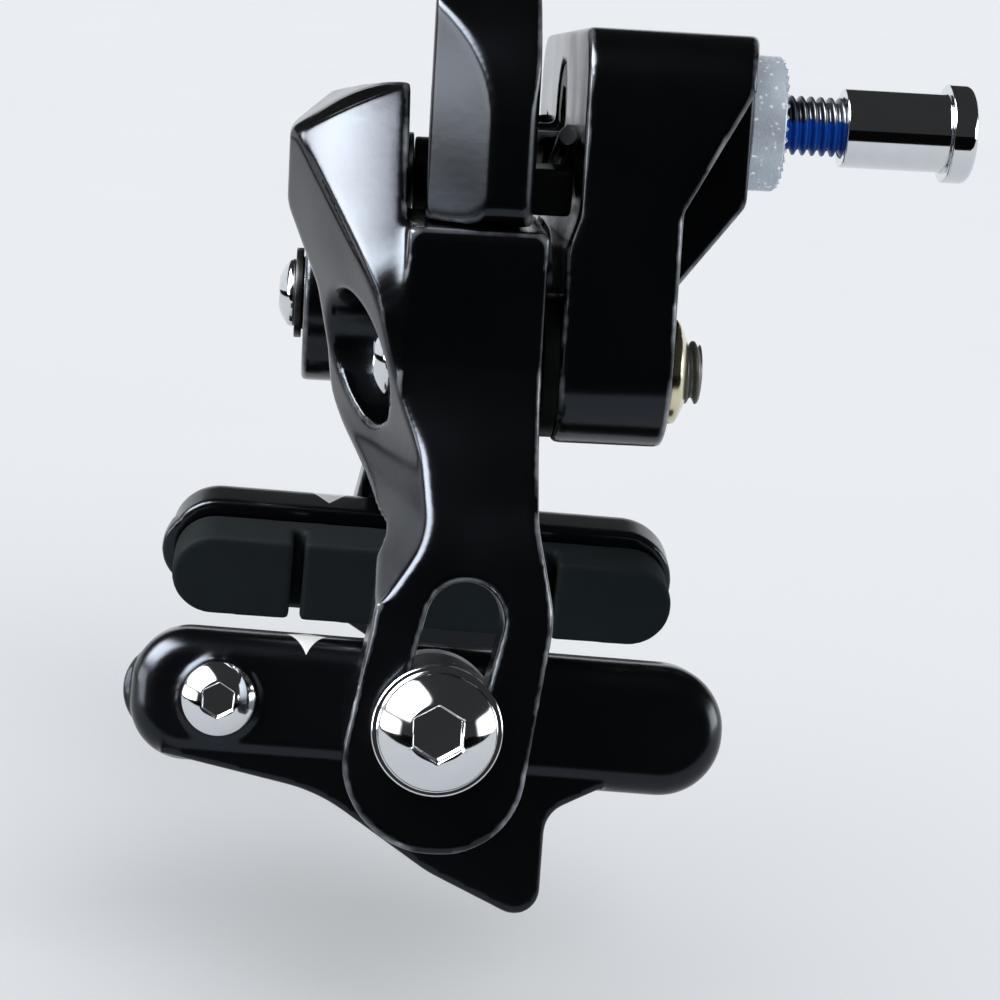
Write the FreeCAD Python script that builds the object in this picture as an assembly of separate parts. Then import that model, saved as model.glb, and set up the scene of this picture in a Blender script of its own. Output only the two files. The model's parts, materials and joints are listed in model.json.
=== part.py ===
import FreeCAD, Part
import math
import os

# A dual-pivot caliper brake, in millimetres, with its arms sprung open.
# +X is the right-hand side seen from the front of the bicycle, +Y points to the rear, +Z is up.
# The origin is on the mounting bolt's axis, in the plane where the brake seats on the frame.
# "Closed" means the pose with both pads flat on the rim: shoes and slots are drawn closed, then swung open.

V = FreeCAD.Vector
X_AXIS = V(1, 0, 0)
Y_AXIS = V(0, 1, 0)
Z_AXIS = V(0, 0, 1)

# Clearances
RUNNING_FIT = 0.05
SCREW_FIT = 0.05
FACE_GAP = 0.2
ARM_GAP = 1.0
LAYER_GAP = 1.3

# Working lengths: a cut that passes any piece, a small overshoot, and the run left between two end rounds
LONG = 120.0
OVERSHOOT = 1.0
RUN_LEFT = 0.2

# Pivots and travel
PIVOT_X = 21.0
PIVOT_Z = -22.5
OPEN_ANGLE = 11.0
TRAVEL_ANGLE = 13.0

# Mounting bolt, washer and sleeve nut
THREAD_R = 3.0
WASHER_R = 6.8
WASHER_T = 3.4
BOLT_HEAD_R = 5.0
BOLT_HEAD_H = 5.0
BOLT_SOCKET_AF = 5.0
BOLT_SOCKET_DEPTH = 3.0
SLEEVE_R = 4.0
SLEEVE_START = 6.7
SLEEVE_LEN = 10.6
SLEEVE_HEAD_R = 5.0
SLEEVE_HEAD_LEN = 2.6
SLEEVE_HEAD_EDGE_R = 0.8
SLEEVE_SOCKET_AF = 5.0
THREAD_ENGAGEMENT = 8.0

# Bridge
BRIDGE_DEPTH = 18.5
LEG_FACE_PROUD = 1.0
LEG_DEPTH = 10.6
BRIDGE_HALF_WIDTH = 27.0
BRIDGE_TOP_RIGHT = 9.7
BRIDGE_TOP_LEFT = 6.6
BOSS_HALF_WIDTH = 7.6
FLANK_SETBACK = 3.2
LEG_R = 7.3
ARCH_HALF_WIDTH = 13.4
ARCH_TOP = -11.5
ARCH_CORNER_R = 9.0
BRIDGE_CORNER_R = 5.0
BRIDGE_FLANK_R = 2.0
BOSS_PROUD = 0.5
LEG_PAD_TOP = -10.6
LEG_PAD_RAMP = 3.4
SLOPE_TOP_Z = 4.0
SLOPE_TILT = -27.8
BOSS_BOTTOM = -7.8
UNDER_BOSS_TILT = -36.8
RIB_BOTTOM = -17.6
RIB_DEPTH = 6.0
COUNTERBORE_DEPTH = 5.2
SPIGOT_R = 6.6
SPIGOT_LEN = 3.2
SPIGOT_TOP = -1.5

# Pivot hardware
SLEEVE_TUBE_R = 4.0
THRUST_WASHER_T = 1.5
THRUST_WASHER_R = 6.8
HEAD_WASHER_T = 0.8
HEAD_WASHER_R = 4.9
PIVOT_HEAD_R = 3.7
PIVOT_HEAD_H = 2.0
PIVOT_SOCKET_AF = 3.0
PIVOT_SOCKET_DEPTH = 1.3
PIVOT_NUT_R = 5.0
PIVOT_NUT_T = 2.4
PIVOT_NUT_CROWN = 1.4
PIVOT_BOLT_END = 0.9
RECESS_R = 6.2
DOME_RIM_SHARE = 0.3

# Both arms, from the front
ARM_BOSS_R = 9.5
ARM_SIDE_X = 28.8
SHELF_Z = -9.2
BLADE_T = 7.0
BLADE_TAIL = 14.0
BLADE_BEND_R = 14.0
SHOULDER_PROUD = 0.4
SHOULDER_DROP = 3.5
BOSS_DROP = 7.0
BOSS_BEND_R = 7.0
THIGH_INSET = 2.0
THIGH_DROP = 12.0
THIGH_R = 5.0
SEAT_CORNER_R = 4.0

# Both arms, from the side: depths are measured forward of the arm's rear face, drops down from the pivot
ARM_TOP_RISE = 34.5
CHIN_DEPTH = 19.1
CHIN_DROP = 6.3
CHIN_R = 10.0
WAIST_DEPTH = 14.3
WAIST_DROP = 13.0
WAIST_R = 8.0
KNEE_DEPTH = 14.7
KNEE_DROP = 21.5
KNEE_R = 15.0
HEEL_DROP = 12.5
CALF_DEPTH = -1.8
CALF_DROP = 20.5
CALF_R = 10.0
TOE_FRONT = 10.2
TOE_REAR = 7.4
TOE_DROP = 8.2
TOE_FRONT_R = 8.4
TOE_REAR_R = 7.6

# Right arm's horn, in front of the left arm's arch
HORN_DEPTH = 11.3
HORN_TOP = 3.4
HORN_ROOT_Z = -6.0
HORN_ROOT_R = 9.0
HORN_SHOULDER_X = 17.0
HORN_SHOULDER_R = 8.0
HORN_BEND_X = -20.0
HORN_BEND_DROP = 4.3
HORN_BEND_R = 30.0
HORN_BOTTOM = -12.2
HORN_BOTTOM_X = 5.0
HORN_BOTTOM_R = 14.0
HORN_BEND_SAG = 0.3
ARMPIT_Z = -14.0
ARMPIT_R = 5.0
HORN_TIP_R = 6.6
CROWN_DEPTH = 5.7
CROWN_DROP = 1.8
CROWN_BEND_R = 16.0
BROW_DROP = 5.5
BROW_EDGE_R = 1.2
JAW_DEPTH = 6.7
JAW_Z = -23.0
JAW_R = 12.0
HORN_TIP_T = 5.4
TIP_TAPER_FROM = 6.0
TIP_TAPER_TO = -16.0
TIP_TAPER_R = 30.0
BROW_Z = -9.6
BROW_R = 4.0
CHEEK_DEPTH = 8.0
CHEEK_Z = -16.8
CHEEK_R = 8.0
RIGHT_BORE_LEN = 13.7

# Right arm's side facet: its lower edge along the arm's side, its rise inwards and its rise to the rear
FACET_DEPTH = 3.0
FACET_Z = -15.0
FACET_R = 14.0
FACET_RISE = 1.152
FACET_SWEEP = 0.667
FACET_LEAD = 1.0
FACET_LEAD_DROP = 10.0
FACET_INNER_X = 4.0

# Right arm's brow between facet and crown: a point on it, and the way it faces
CREST_X = 15.9
CREST_DEPTH = 5.0
CREST_Z = -0.4
CREST_TURN = 50.7
CREST_TILT = 53.7

# Right arm's front face: its edge along the arm's side, in depths from the horn's rear, and its slant inwards
FACE_SLANT = 0.4
FACE_TOP_DEPTH = 5.6
FACE_TOP_Z = 6.0
FACE_CHEEK_DEPTH = 3.0
FACE_CHEEK_Z = -14.0
FACE_CHEEK_R = 20.0
FACE_WAIST_DEPTH = -0.9
FACE_WAIST_Z = -29.5
FACE_WAIST_R = 7.0
FACE_KNEE_DEPTH = 0.5
FACE_KNEE_Z = -36.5
FACE_KNEE_R = 10.0
FACE_END_DEPTH = 4.6
FACE_END_Z = -42.0

# Left arm's arch
ARCH_SETBACK = 1.6
ARCH_T = 10.1
LEFT_BOSS_DEPTH = 22.4
LEFT_CROWN_DEPTH = 18.6
CROWN_RISE = 8.0
CROWN_R = 5.0
ARCH_OUTER_TOP = 16.0
ARCH_OUTER_R = 40.0
HOOK_INSET = 0.3
HOOK_EDGE_R = 2.5
HOOK_INNER_X = 10.0
HOOK_SHOULDER_DROP = 1.5
HOOK_SHOULDER_R = 15.0
HOOK_BEVEL_DEPTH = 0.9
HOOK_BEVEL_TURN = -48.0
HOOK_FACE_DEPTH = 5.8
HOOK_FACE_TURN = 40.0
ARCH_TAPER_TURN = 93.2
ARCH_NECK_X = -24.5
ARCH_NECK_Z = 2.0
ARCH_NECK_R = 12.0
ARCH_TOP_X = -25.5
ARCH_TOP_R = 5.0
ARCH_ROOT_PROUD = 1.0
ARCH_ROOT_Z = -14.0
ARCH_ROOT_R = 8.0
ARCH_FOOT_PROUD = 0.6

# Sync roller between the arms
ROLLER_Z = -7.2
ROLLER_R = 4.0
ROLLER_GAP = 0.3
ROLLER_PIN_R = 2.0
ROLLER_PIN_SEAT = 6.1
ROLLER_FLANGE_R = 4.4
ROLLER_FLANGE_T = 1.0
ROLLER_CLIP_R = 3.4
ROLLER_CLIP_T = 0.8

# Quick release and cable anchor
ANCHOR_Z = -12.0
SPINDLE_R = 4.5
ANCHOR_OFFSET = 1.2
ANCHOR_BOLT_R = 2.5
ANCHOR_HEAD_R = 4.6
ANCHOR_HEAD_H = 2.8
ANCHOR_SOCKET_AF = 4.0
ANCHOR_SOCKET_DEPTH = 2.0
ANCHOR_PLATE_T = 2.0
ANCHOR_PLATE_R = 4.4
ANCHOR_PLATE_FLAT = 3.5
LEVER_HUB_R = 6.4
LEVER_ROOT_HALF = 5.1
LEVER_T = 2.6
LEVER_LEN = 17.0
LEVER_RISE = 10.0
LEVER_TIP_R = 3.6

# Barrel adjuster
ADJUSTER_X = -42.0
ADJUSTER_FORWARD = 0.4
LUG_BOTTOM = 17.0
LUG_HEIGHT = 7.0
LUG_R = 6.2
LUG_ROOT_X = -20.0
LUG_NECK_X = -24.0
LUG_NECK_R = 4.0
STEM_R = 3.0
RING_R = 4.6
RING_T = 1.6
KNOB_R = 5.0
KNOB_H = 11.0
KNOB_GRIP_H = 6.6
KNOB_TOP_R = 3.9
HOUSING_R = 2.55
HOUSING_DEPTH = 7.0
CABLE_R = 1.0
KNURL_FLUTES = 12
KNURL_R = 0.8

# Return spring
SPRING_WIRE_R = 0.9
SPRING_FOOT_X = 17.0
SPRING_REACH = 5.0
SPRING_END_Z = -2.3
SPRING_FOOT_DEPTH = 4.0
SPRING_FOOT_BEND_R = 1.0
SLIDER_LEN = 7.0
SLIDER_H = 4.4
SLIDER_PEG_R = 1.8
SLIDER_PEG_LEN = 3.0

# Brake shoes, in the closed pose
REACH = 56.0
REACH_TRAVEL = 10.0
PAD_DEPTH = 8.6
PAD_PITCH = 2.2
RIM_HALF_WIDTH = 9.5
PAD_PROUD = 6.2
PAD_LEN = 55.4
PAD_H = 9.4
PAD_NECK_DEPTH = 4.0
PAD_NECK_INSET = 0.8
PAD_GROOVE_W = 1.2
PAD_GROOVE_DEPTH = 3.6
PAD_GROOVE_Y = 14.0
HOLDER_LEN = 56.6
HOLDER_H = 12.6
HOLDER_T = 6.6
HOLDER_EDGE_R = 2.6
HOLDER_NOSE_R = 5.4
HOLDER_LIP_PROUD = 0.9
HOLDER_LIP_T = 2.4
HOLDER_LIP_R = 4.6
GUIDE_T = 2.2
GUIDE_INSET = 0.3
GUIDE_ROOT = 3.0
GUIDE_FRONT = 25.0
GUIDE_REAR = 17.0
GUIDE_FRONT_DROP = 5.6
GUIDE_REAR_DROP = 5.8
GUIDE_BELLY_FRONT = 10.0
GUIDE_BELLY_DROP = 8.2
GUIDE_BELLY_R = 16.0
GUIDE_SWEEP_REAR = 1.0
GUIDE_SWEEP_DROP = 15.0
GUIDE_SWEEP_R = 14.0
GUIDE_TIP_REAR = 11.9
GUIDE_TIP_DROP = 19.6
GUIDE_TIP_R = 2.4
GUIDE_BACK_REAR = 11.8
GUIDE_BACK_DROP = 8.6
GUIDE_BACK_R = 3.0
PAD_SCREW_INSET = 7.8
PAD_SCREW_R = 1.5
PAD_SCREW_HEAD_R = 3.5
PAD_SCREW_HEAD_H = 2.2
PAD_SCREW_SOCKET_AF = 2.9
PAD_SCREW_SOCKET_DEPTH = 1.3
PAD_SCREW_BITE = 1.5
PAD_BOLT_R = 3.0
PAD_BOLT_HEAD_R = 5.3
PAD_BOLT_HEAD_H = 3.2
PAD_BOLT_SOCKET_AF = 4.4
PAD_BOLT_SOCKET_DEPTH = 2.4
FLANGE_R = 5.9
FLANGE_T = 1.0
DISHED_R = 5.5
DISHED_T = 1.5
BALL_WASHER_R = 6.2
BALL_SEAT_R = 5.0
BALL_R = 9.0
BALL_CAP_DEPTH = 0.8
BALL_STACK_T = 5.2
CUP_T = 2.6
CUP_BORE_INSET = 1.0
SCREW_BOSS_H = 0.4
SCREW_BOSS_LIP = 0.35
SLOT_HALF_WIDTH = 3.5
SLOT_LEAN = 13.0
LEFT_SHOE_RAISE = 3.4

# Stations along Y, worked out from the sizes above
BRIDGE_REAR = -WASHER_T
BRIDGE_FRONT = BRIDGE_REAR - BRIDGE_DEPTH
LEG_FRONT = BRIDGE_FRONT - LEG_FACE_PROUD
LEG_REAR = LEG_FRONT + LEG_DEPTH
ARM_REAR = LEG_FRONT - THRUST_WASHER_T - FACE_GAP
ARCH_REAR = ARM_REAR - ARCH_SETBACK
ARCH_FRONT = ARCH_REAR - ARCH_T
HORN_REAR = ARCH_FRONT - LAYER_GAP
HORN_FRONT = HORN_REAR - HORN_DEPTH
HORN_TIP_FRONT = HORN_REAR - HORN_TIP_T
LEFT_BOSS_FRONT = ARM_REAR - LEFT_BOSS_DEPTH
ROLLER_PIN_FRONT = HORN_REAR - ROLLER_PIN_SEAT
LEVER_BACK = HORN_TIP_FRONT - FACE_GAP
LEVER_FRONT = LEVER_BACK - LEVER_T
ANCHOR_PLATE_FRONT = HORN_REAR + FACE_GAP
ADJUSTER_Y = ARCH_FRONT - ADJUSTER_FORWARD
ANCHOR_X = ADJUSTER_X
SPRING_Y = BRIDGE_FRONT - SPRING_WIRE_R - FACE_GAP
SPRING_BEND_R = SPIGOT_R + SPRING_WIRE_R + FACE_GAP

# Stations of the shoes, in the closed pose
PAD_CENTRE_Y = ARM_REAR - PAD_DEPTH
PAD_CENTRE_Z = -REACH
HOLDER_INNER = RIM_HALF_WIDTH + PAD_PROUD
HOLDER_OUTER = HOLDER_INNER + HOLDER_T
BLADE_INNER_X = HOLDER_OUTER + BALL_STACK_T
BLADE_OUTER_X = BLADE_INNER_X + BLADE_T
BLADE_BOTTOM = PAD_CENTRE_Z - BLADE_TAIL
FLANGE_SEAT = BLADE_OUTER_X + FACE_GAP + DISHED_T
ARM_CEILING = PIVOT_Z + ARM_TOP_RISE


def rounded_wire(corners, place):
    """A closed outline of straight runs and tangent arcs from (u, v, radius) corners."""
    count = len(corners)
    ends = []
    for i in range(count):
        u, v, radius = corners[i]
        here = V(u, v, 0)
        before = V(*corners[i - 1][:2], 0) - here
        after = V(*corners[(i + 1) % count][:2], 0) - here
        if radius == 0:
            ends.append((here, here, here))
            continue
        half = before.getAngle(after) / 2
        before.normalize()
        after.normalize()
        reach = radius / math.tan(half)
        bisector = before + after
        bisector.normalize()
        middle = here + bisector * (radius / math.sin(half) - radius)
        ends.append((here + before * reach, middle, here + after * reach))
    edges = []
    for i in range(count):
        first, middle, last = (place(p.x, p.y) for p in ends[i])
        if (last - first).Length > 1e-6:
            edges.append(Part.Arc(first, middle, last).toShape())
        following = place(ends[(i + 1) % count][0].x, ends[(i + 1) % count][0].y)
        if (following - last).Length > 1e-6:
            edges.append(Part.LineSegment(last, following).toShape())
    return Part.Wire(edges)


def front_prism(corners, y_from, y_to):
    """An outline in X and Z, pushed along Y."""
    wire = rounded_wire(corners, lambda u, v: V(u, y_from, v))
    return Part.Face(wire).extrude(V(0, y_to - y_from, 0))


def side_prism(corners, x_from, x_to):
    """An outline in Y and Z, pushed along X."""
    wire = rounded_wire(corners, lambda u, v: V(x_from, u, v))
    return Part.Face(wire).extrude(V(x_to - x_from, 0, 0))


def plan_prism(corners, z_from, z_to):
    """An outline in X and Y, pushed along Z."""
    wire = rounded_wire(corners, lambda u, v: V(u, v, z_from))
    return Part.Face(wire).extrude(V(0, 0, z_to - z_from))


def block(x_range, y_range, z_range):
    """A box from its three ranges."""
    size = [high - low for low, high in (x_range, y_range, z_range)]
    return Part.makeBox(*size, V(x_range[0], y_range[0], z_range[0]))


def rod(start, axis, length, radius):
    """A round bar from a start point."""
    return Part.makeCylinder(radius, length, start, axis)


def tube(start, axis, length, radius, bore):
    """A round bar with a bore right through."""
    return rod(start, axis, length, radius).cut(rod(start, axis, length, bore))


def hex_bar(start, axis, length, across_flats):
    """A hexagonal bar from a start point."""
    corner = across_flats / math.sqrt(3)
    points = [V(corner * math.cos(a), corner * math.sin(a), 0) for a in (math.pi / 3 * k for k in range(7))]
    bar = Part.Face(Part.makePolygon(points)).extrude(V(0, 0, length))
    bar.Placement = FreeCAD.Placement(start, FreeCAD.Rotation(Z_AXIS, axis))
    return bar


def dome_head(seat, axis, radius, height, socket_af, socket_depth):
    """A button head on its seat, with a hexagonal socket."""
    rim = height * DOME_RIM_SHARE
    crown = height - rim
    ball_r = (radius ** 2 + crown ** 2) / (2 * crown)
    body = rod(seat, axis, height, radius)
    ball = Part.makeSphere(ball_r, seat + axis * (height - ball_r), axis)
    socket = hex_bar(seat + axis * (height - socket_depth), axis, socket_depth + ball_r, socket_af)
    return body.common(ball.fuse(rod(seat, axis, rim, radius))).cut(socket)


def facing(turn, tilt):
    """The direction turned from the right towards the front, then tilted up, in degrees."""
    turn, tilt = math.radians(turn), math.radians(tilt)
    return V(math.cos(tilt) * math.cos(turn), -math.cos(tilt) * math.sin(turn), math.sin(tilt))


def beyond(point, normal):
    """A large block that fills everything past a plane."""
    slab = Part.makeBox(2 * LONG, 2 * LONG, 2 * LONG, V(-LONG, -LONG, 0))
    slab.Placement = FreeCAD.Placement(point, FreeCAD.Rotation(Z_AXIS, normal))
    return slab


def pivot(side):
    """The pivot's place on one side, +1 right or -1 left."""
    return V(side * PIVOT_X, 0, PIVOT_Z)


def opened(shape, side):
    """A shape drawn closed, swung out about its pivot to the sprung-open rest."""
    return shape.copy().rotate(pivot(side), Y_AXIS, -side * OPEN_ANGLE)


def opened_point(x, z):
    """A right-hand point drawn closed, at its place with the arm open."""
    turn = math.radians(OPEN_ANGLE)
    dx, dz = x - PIVOT_X, z - PIVOT_Z
    return (PIVOT_X + dx * math.cos(turn) - dz * math.sin(turn),
            PIVOT_Z + dx * math.sin(turn) + dz * math.cos(turn))


def mirrored(shape, side):
    """A right-hand shape, or its left-hand twin."""
    return shape if side > 0 else shape.mirror(V(0, 0, 0), X_AXIS)


def save(name, shape):
    """Write one node."""
    shape.exportStep(f"parts/{name}.step")
    kinds = len(shape.Solids)
    print(f"{name}: {kinds} solid(s), {shape.Volume:.1f} mm3, valid {shape.isValid()}")


# Bridge and mounting

def make_rib():
    """The rib that carries the boss down over the arch."""
    rear = BRIDGE_REAR - BOSS_PROUD
    return block((-BOSS_HALF_WIDTH, BOSS_HALF_WIDTH), (LEG_REAR - RIB_DEPTH, rear), (RIB_BOTTOM, BOSS_BOTTOM))


def make_spigot():
    """The half-round spigot that the return spring bends round."""
    front = BRIDGE_FRONT - SPIGOT_LEN
    whole = rod(V(0, front, 0), Y_AXIS, SPIGOT_LEN, SPIGOT_R)
    return whole.common(block((-SPIGOT_R, SPIGOT_R), (front, BRIDGE_FRONT), (-SPIGOT_R, SPIGOT_TOP)))


def make_bridge():
    """The forged arch that carries both pivots and the mounting bolt."""
    leg_out = PIVOT_X + LEG_R
    leg_end = PIVOT_Z - LEG_R
    leg_in = PIVOT_X - LEG_R
    round_end = LEG_R - RUN_LEFT / 2
    outline = [
        (leg_out, leg_end, round_end), (BRIDGE_HALF_WIDTH, BRIDGE_TOP_RIGHT, BRIDGE_CORNER_R),
        (-BRIDGE_HALF_WIDTH, BRIDGE_TOP_LEFT, BRIDGE_CORNER_R), (-leg_out, leg_end, round_end),
        (-leg_in, leg_end, round_end), (-ARCH_HALF_WIDTH, ARCH_TOP, ARCH_CORNER_R),
        (ARCH_HALF_WIDTH, ARCH_TOP, ARCH_CORNER_R), (leg_in, leg_end, round_end)]
    body = front_prism(outline, LEG_FRONT, BRIDGE_REAR)
    flank_rear = BRIDGE_REAR - FLANK_SETBACK
    plan = [
        (leg_out, LEG_FRONT, 0), (leg_out, flank_rear, BRIDGE_FLANK_R),
        (BOSS_HALF_WIDTH, BRIDGE_REAR - BOSS_PROUD, 0), (BOSS_HALF_WIDTH, BRIDGE_REAR, 0),
        (-BOSS_HALF_WIDTH, BRIDGE_REAR, 0), (-BOSS_HALF_WIDTH, BRIDGE_REAR - BOSS_PROUD, 0),
        (-leg_out, flank_rear, BRIDGE_FLANK_R), (-leg_out, LEG_FRONT, 0)]
    height = (leg_end - OVERSHOOT, BRIDGE_TOP_RIGHT + OVERSHOOT)
    body = body.common(plan_prism(plan, *height))
    body = body.cut(side_prism([
        (LEG_FRONT, height[1], 0), (BRIDGE_FRONT, height[1], 0),
        (BRIDGE_FRONT, LEG_PAD_TOP + LEG_PAD_RAMP, 0), (LEG_FRONT, LEG_PAD_TOP, 0)], -leg_out, leg_out))
    slope = beyond(V(0, flank_rear, SLOPE_TOP_Z), facing(-90, SLOPE_TILT))
    for side in (1, -1):
        wing = block((BOSS_HALF_WIDTH, leg_out), (LEG_REAR, BRIDGE_REAR), height)
        body = body.cut(slope.common(mirrored(wing, side)))
    body = body.fuse(make_rib())
    under_boss = beyond(V(0, BRIDGE_REAR, BOSS_BOTTOM), facing(-90, UNDER_BOSS_TILT))
    under_zone = block((-BOSS_HALF_WIDTH, BOSS_HALF_WIDTH), (LEG_REAR, BRIDGE_REAR), height)
    body = body.cut(under_boss.common(under_zone))
    body = body.fuse(make_spigot())
    body = body.cut(rod(V(0, BRIDGE_FRONT - SPIGOT_LEN, 0), Y_AXIS, LONG, THREAD_R + SCREW_FIT))
    sunk = COUNTERBORE_DEPTH + SPIGOT_LEN
    body = body.cut(rod(V(0, BRIDGE_FRONT - SPIGOT_LEN, 0), Y_AXIS, sunk, BOLT_HEAD_R + FACE_GAP))
    for side in (1, -1):
        body = body.cut(rod(pivot(side) + V(0, LEG_FRONT, 0), Y_AXIS, LEG_DEPTH, THREAD_R + SCREW_FIT))
    foot_hole = V(-SPRING_FOOT_X, BRIDGE_FRONT, SPRING_END_Z)
    body = body.cut(rod(foot_hole, Y_AXIS, SPRING_FOOT_DEPTH + FACE_GAP, SPRING_WIRE_R + SCREW_FIT))
    return body.removeSplitter()


def make_centre_bolt():
    """The mounting bolt, head sunk in the bridge."""
    seat = BRIDGE_FRONT + COUNTERBORE_DEPTH
    head = rod(V(0, seat - BOLT_HEAD_H, 0), Y_AXIS, BOLT_HEAD_H, BOLT_HEAD_R)
    shank = rod(V(0, seat, 0), Y_AXIS, SLEEVE_START + THREAD_ENGAGEMENT - seat, THREAD_R)
    socket = hex_bar(V(0, seat - BOLT_HEAD_H, 0), Y_AXIS, BOLT_SOCKET_DEPTH, BOLT_SOCKET_AF)
    return head.fuse(shank).cut(socket)


def make_sleeve_nut():
    """The recessed nut that holds the brake on the frame."""
    body = rod(V(0, SLEEVE_START, 0), Y_AXIS, SLEEVE_LEN, SLEEVE_R)
    head_start = SLEEVE_START + SLEEVE_LEN
    head = rod(V(0, head_start, 0), Y_AXIS, SLEEVE_HEAD_LEN, SLEEVE_HEAD_R)
    rear_end = head_start + SLEEVE_HEAD_LEN / 2
    head = head.makeFillet(SLEEVE_HEAD_EDGE_R, [e for e in head.Edges if e.BoundBox.YMin > rear_end])
    bore = rod(V(0, SLEEVE_START, 0), Y_AXIS, SLEEVE_LEN, THREAD_R + SCREW_FIT)
    socket = hex_bar(V(0, head_start, 0), Y_AXIS, SLEEVE_HEAD_LEN, SLEEVE_SOCKET_AF)
    return body.fuse(head).cut(bore).cut(socket)


def make_serrated_washer():
    """The washer between bridge and frame."""
    return tube(V(0, BRIDGE_REAR, 0), Y_AXIS, WASHER_T, WASHER_R, THREAD_R + SCREW_FIT)


# Pivot hardware

def head_seat(side):
    """Where the pivot bolt's head bears, along Y."""
    return (ARM_REAR - RIGHT_BORE_LEN if side > 0 else LEFT_BOSS_FRONT - FACE_GAP - HEAD_WASHER_T)


def make_pivot_bolt(side):
    """The bolt an arm turns on, with a domed socket head in front."""
    seat = head_seat(side)
    end = LEG_REAR + PIVOT_NUT_T + PIVOT_BOLT_END
    shank = rod(pivot(side) + V(0, seat, 0), Y_AXIS, end - seat, THREAD_R)
    head = dome_head(pivot(side) + V(0, seat, 0), V(0, -1, 0), PIVOT_HEAD_R, PIVOT_HEAD_H,
                     PIVOT_SOCKET_AF, PIVOT_SOCKET_DEPTH)
    return shank.fuse(head)


def make_pivot_nut(side):
    """The domed lock nut behind the bridge."""
    seat = pivot(side) + V(0, LEG_REAR, 0)
    ball_r = (PIVOT_NUT_R ** 2 + PIVOT_NUT_CROWN ** 2) / (2 * PIVOT_NUT_CROWN)
    ball = Part.makeSphere(ball_r, seat + V(0, PIVOT_NUT_T - ball_r, 0), Y_AXIS)
    disc = rod(seat, Y_AXIS, PIVOT_NUT_T, PIVOT_NUT_R).common(ball)
    return disc.cut(rod(seat, Y_AXIS, PIVOT_NUT_T, THREAD_R + SCREW_FIT))


def make_pivot_sleeve(side):
    """The sleeve that the arm's bore runs on, clamped by the pivot bolt."""
    front = head_seat(side) + HEAD_WASHER_T
    start = pivot(side) + V(0, front, 0)
    return tube(start, Y_AXIS, LEG_FRONT - front, SLEEVE_TUBE_R, THREAD_R + SCREW_FIT)


def make_thrust_washer(side):
    """The slip washer between bridge and arm."""
    start = pivot(side) + V(0, LEG_FRONT - THRUST_WASHER_T, 0)
    return tube(start, Y_AXIS, THRUST_WASHER_T, THRUST_WASHER_R, SLEEVE_TUBE_R + SCREW_FIT)


def make_head_washer(side):
    """The washer under the pivot bolt's head."""
    start = pivot(side) + V(0, head_seat(side), 0)
    return tube(start, Y_AXIS, HEAD_WASHER_T, HEAD_WASHER_R, THREAD_R + SCREW_FIT)


# Return spring

def bent_wire(points, radii, wire_r):
    """A round wire along straight runs with tangent arcs."""
    edges = []
    last = points[0]
    for i in range(1, len(points) - 1):
        before = points[i - 1] - points[i]
        after = points[i + 1] - points[i]
        half = before.getAngle(after) / 2
        before.normalize()
        after.normalize()
        bisector = before + after
        bisector.normalize()
        reach = radii[i - 1] / math.tan(half)
        first = points[i] + before * reach
        middle = points[i] + bisector * (radii[i - 1] / math.sin(half) - radii[i - 1])
        edges.append(Part.LineSegment(last, first).toShape())
        last = points[i] + after * reach
        edges.append(Part.Arc(first, middle, last).toShape())
    edges.append(Part.LineSegment(last, points[-1]).toShape())
    path = Part.Wire(edges)
    section = Part.Wire(Part.makeCircle(wire_r, points[0], points[1] - points[0]))
    return path.makePipeShell([section], True, False)


def spring_crest():
    """The height where the spring's two straight legs would meet under the spigot."""
    tangent = math.asin(SPRING_BEND_R / math.hypot(SPRING_FOOT_X, SPRING_END_Z))
    slope = tangent - math.atan2(-SPRING_END_Z, SPRING_FOOT_X)
    return SPRING_END_Z - SPRING_FOOT_X * math.tan(slope)


def make_return_spring():
    """The wire that springs the arms open, from the bridge under its spigot to the left arm."""
    foot = V(-SPRING_FOOT_X, SPRING_Y, SPRING_END_Z)
    crest = V(0, SPRING_Y, spring_crest())
    tip = V(SPRING_FOOT_X, SPRING_Y, SPRING_END_Z)
    root = V(-SPRING_FOOT_X, BRIDGE_FRONT + SPRING_FOOT_DEPTH, SPRING_END_Z)
    overhang = tip + (tip - crest).normalize() * SPRING_REACH
    return bent_wire([root, foot, crest, overhang], [SPRING_FOOT_BEND_R, SPRING_BEND_R], SPRING_WIRE_R)


# Arms

def blade_outline():
    """The right-hand arm below its shelf, seen from the front: outer side, then inner side."""
    seat_top = PAD_CENTRE_Z + REACH_TRAVEL + BALL_WASHER_R + ARM_GAP
    outer = [
        (*opened_point(BLADE_OUTER_X, BLADE_BOTTOM), 0),
        (*opened_point(BLADE_OUTER_X, seat_top), BLADE_BEND_R),
        (ARM_SIDE_X + SHOULDER_PROUD, PIVOT_Z - SHOULDER_DROP, BLADE_BEND_R)]
    inner = [
        (PIVOT_X - ARM_BOSS_R, PIVOT_Z - BOSS_DROP, BOSS_BEND_R),
        (PIVOT_X - THIGH_INSET, PIVOT_Z - THIGH_DROP, THIGH_R),
        (*opened_point(BLADE_INNER_X, seat_top), SEAT_CORNER_R),
        (*opened_point(BLADE_INNER_X, BLADE_BOTTOM), 0)]
    return outer, inner


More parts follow.
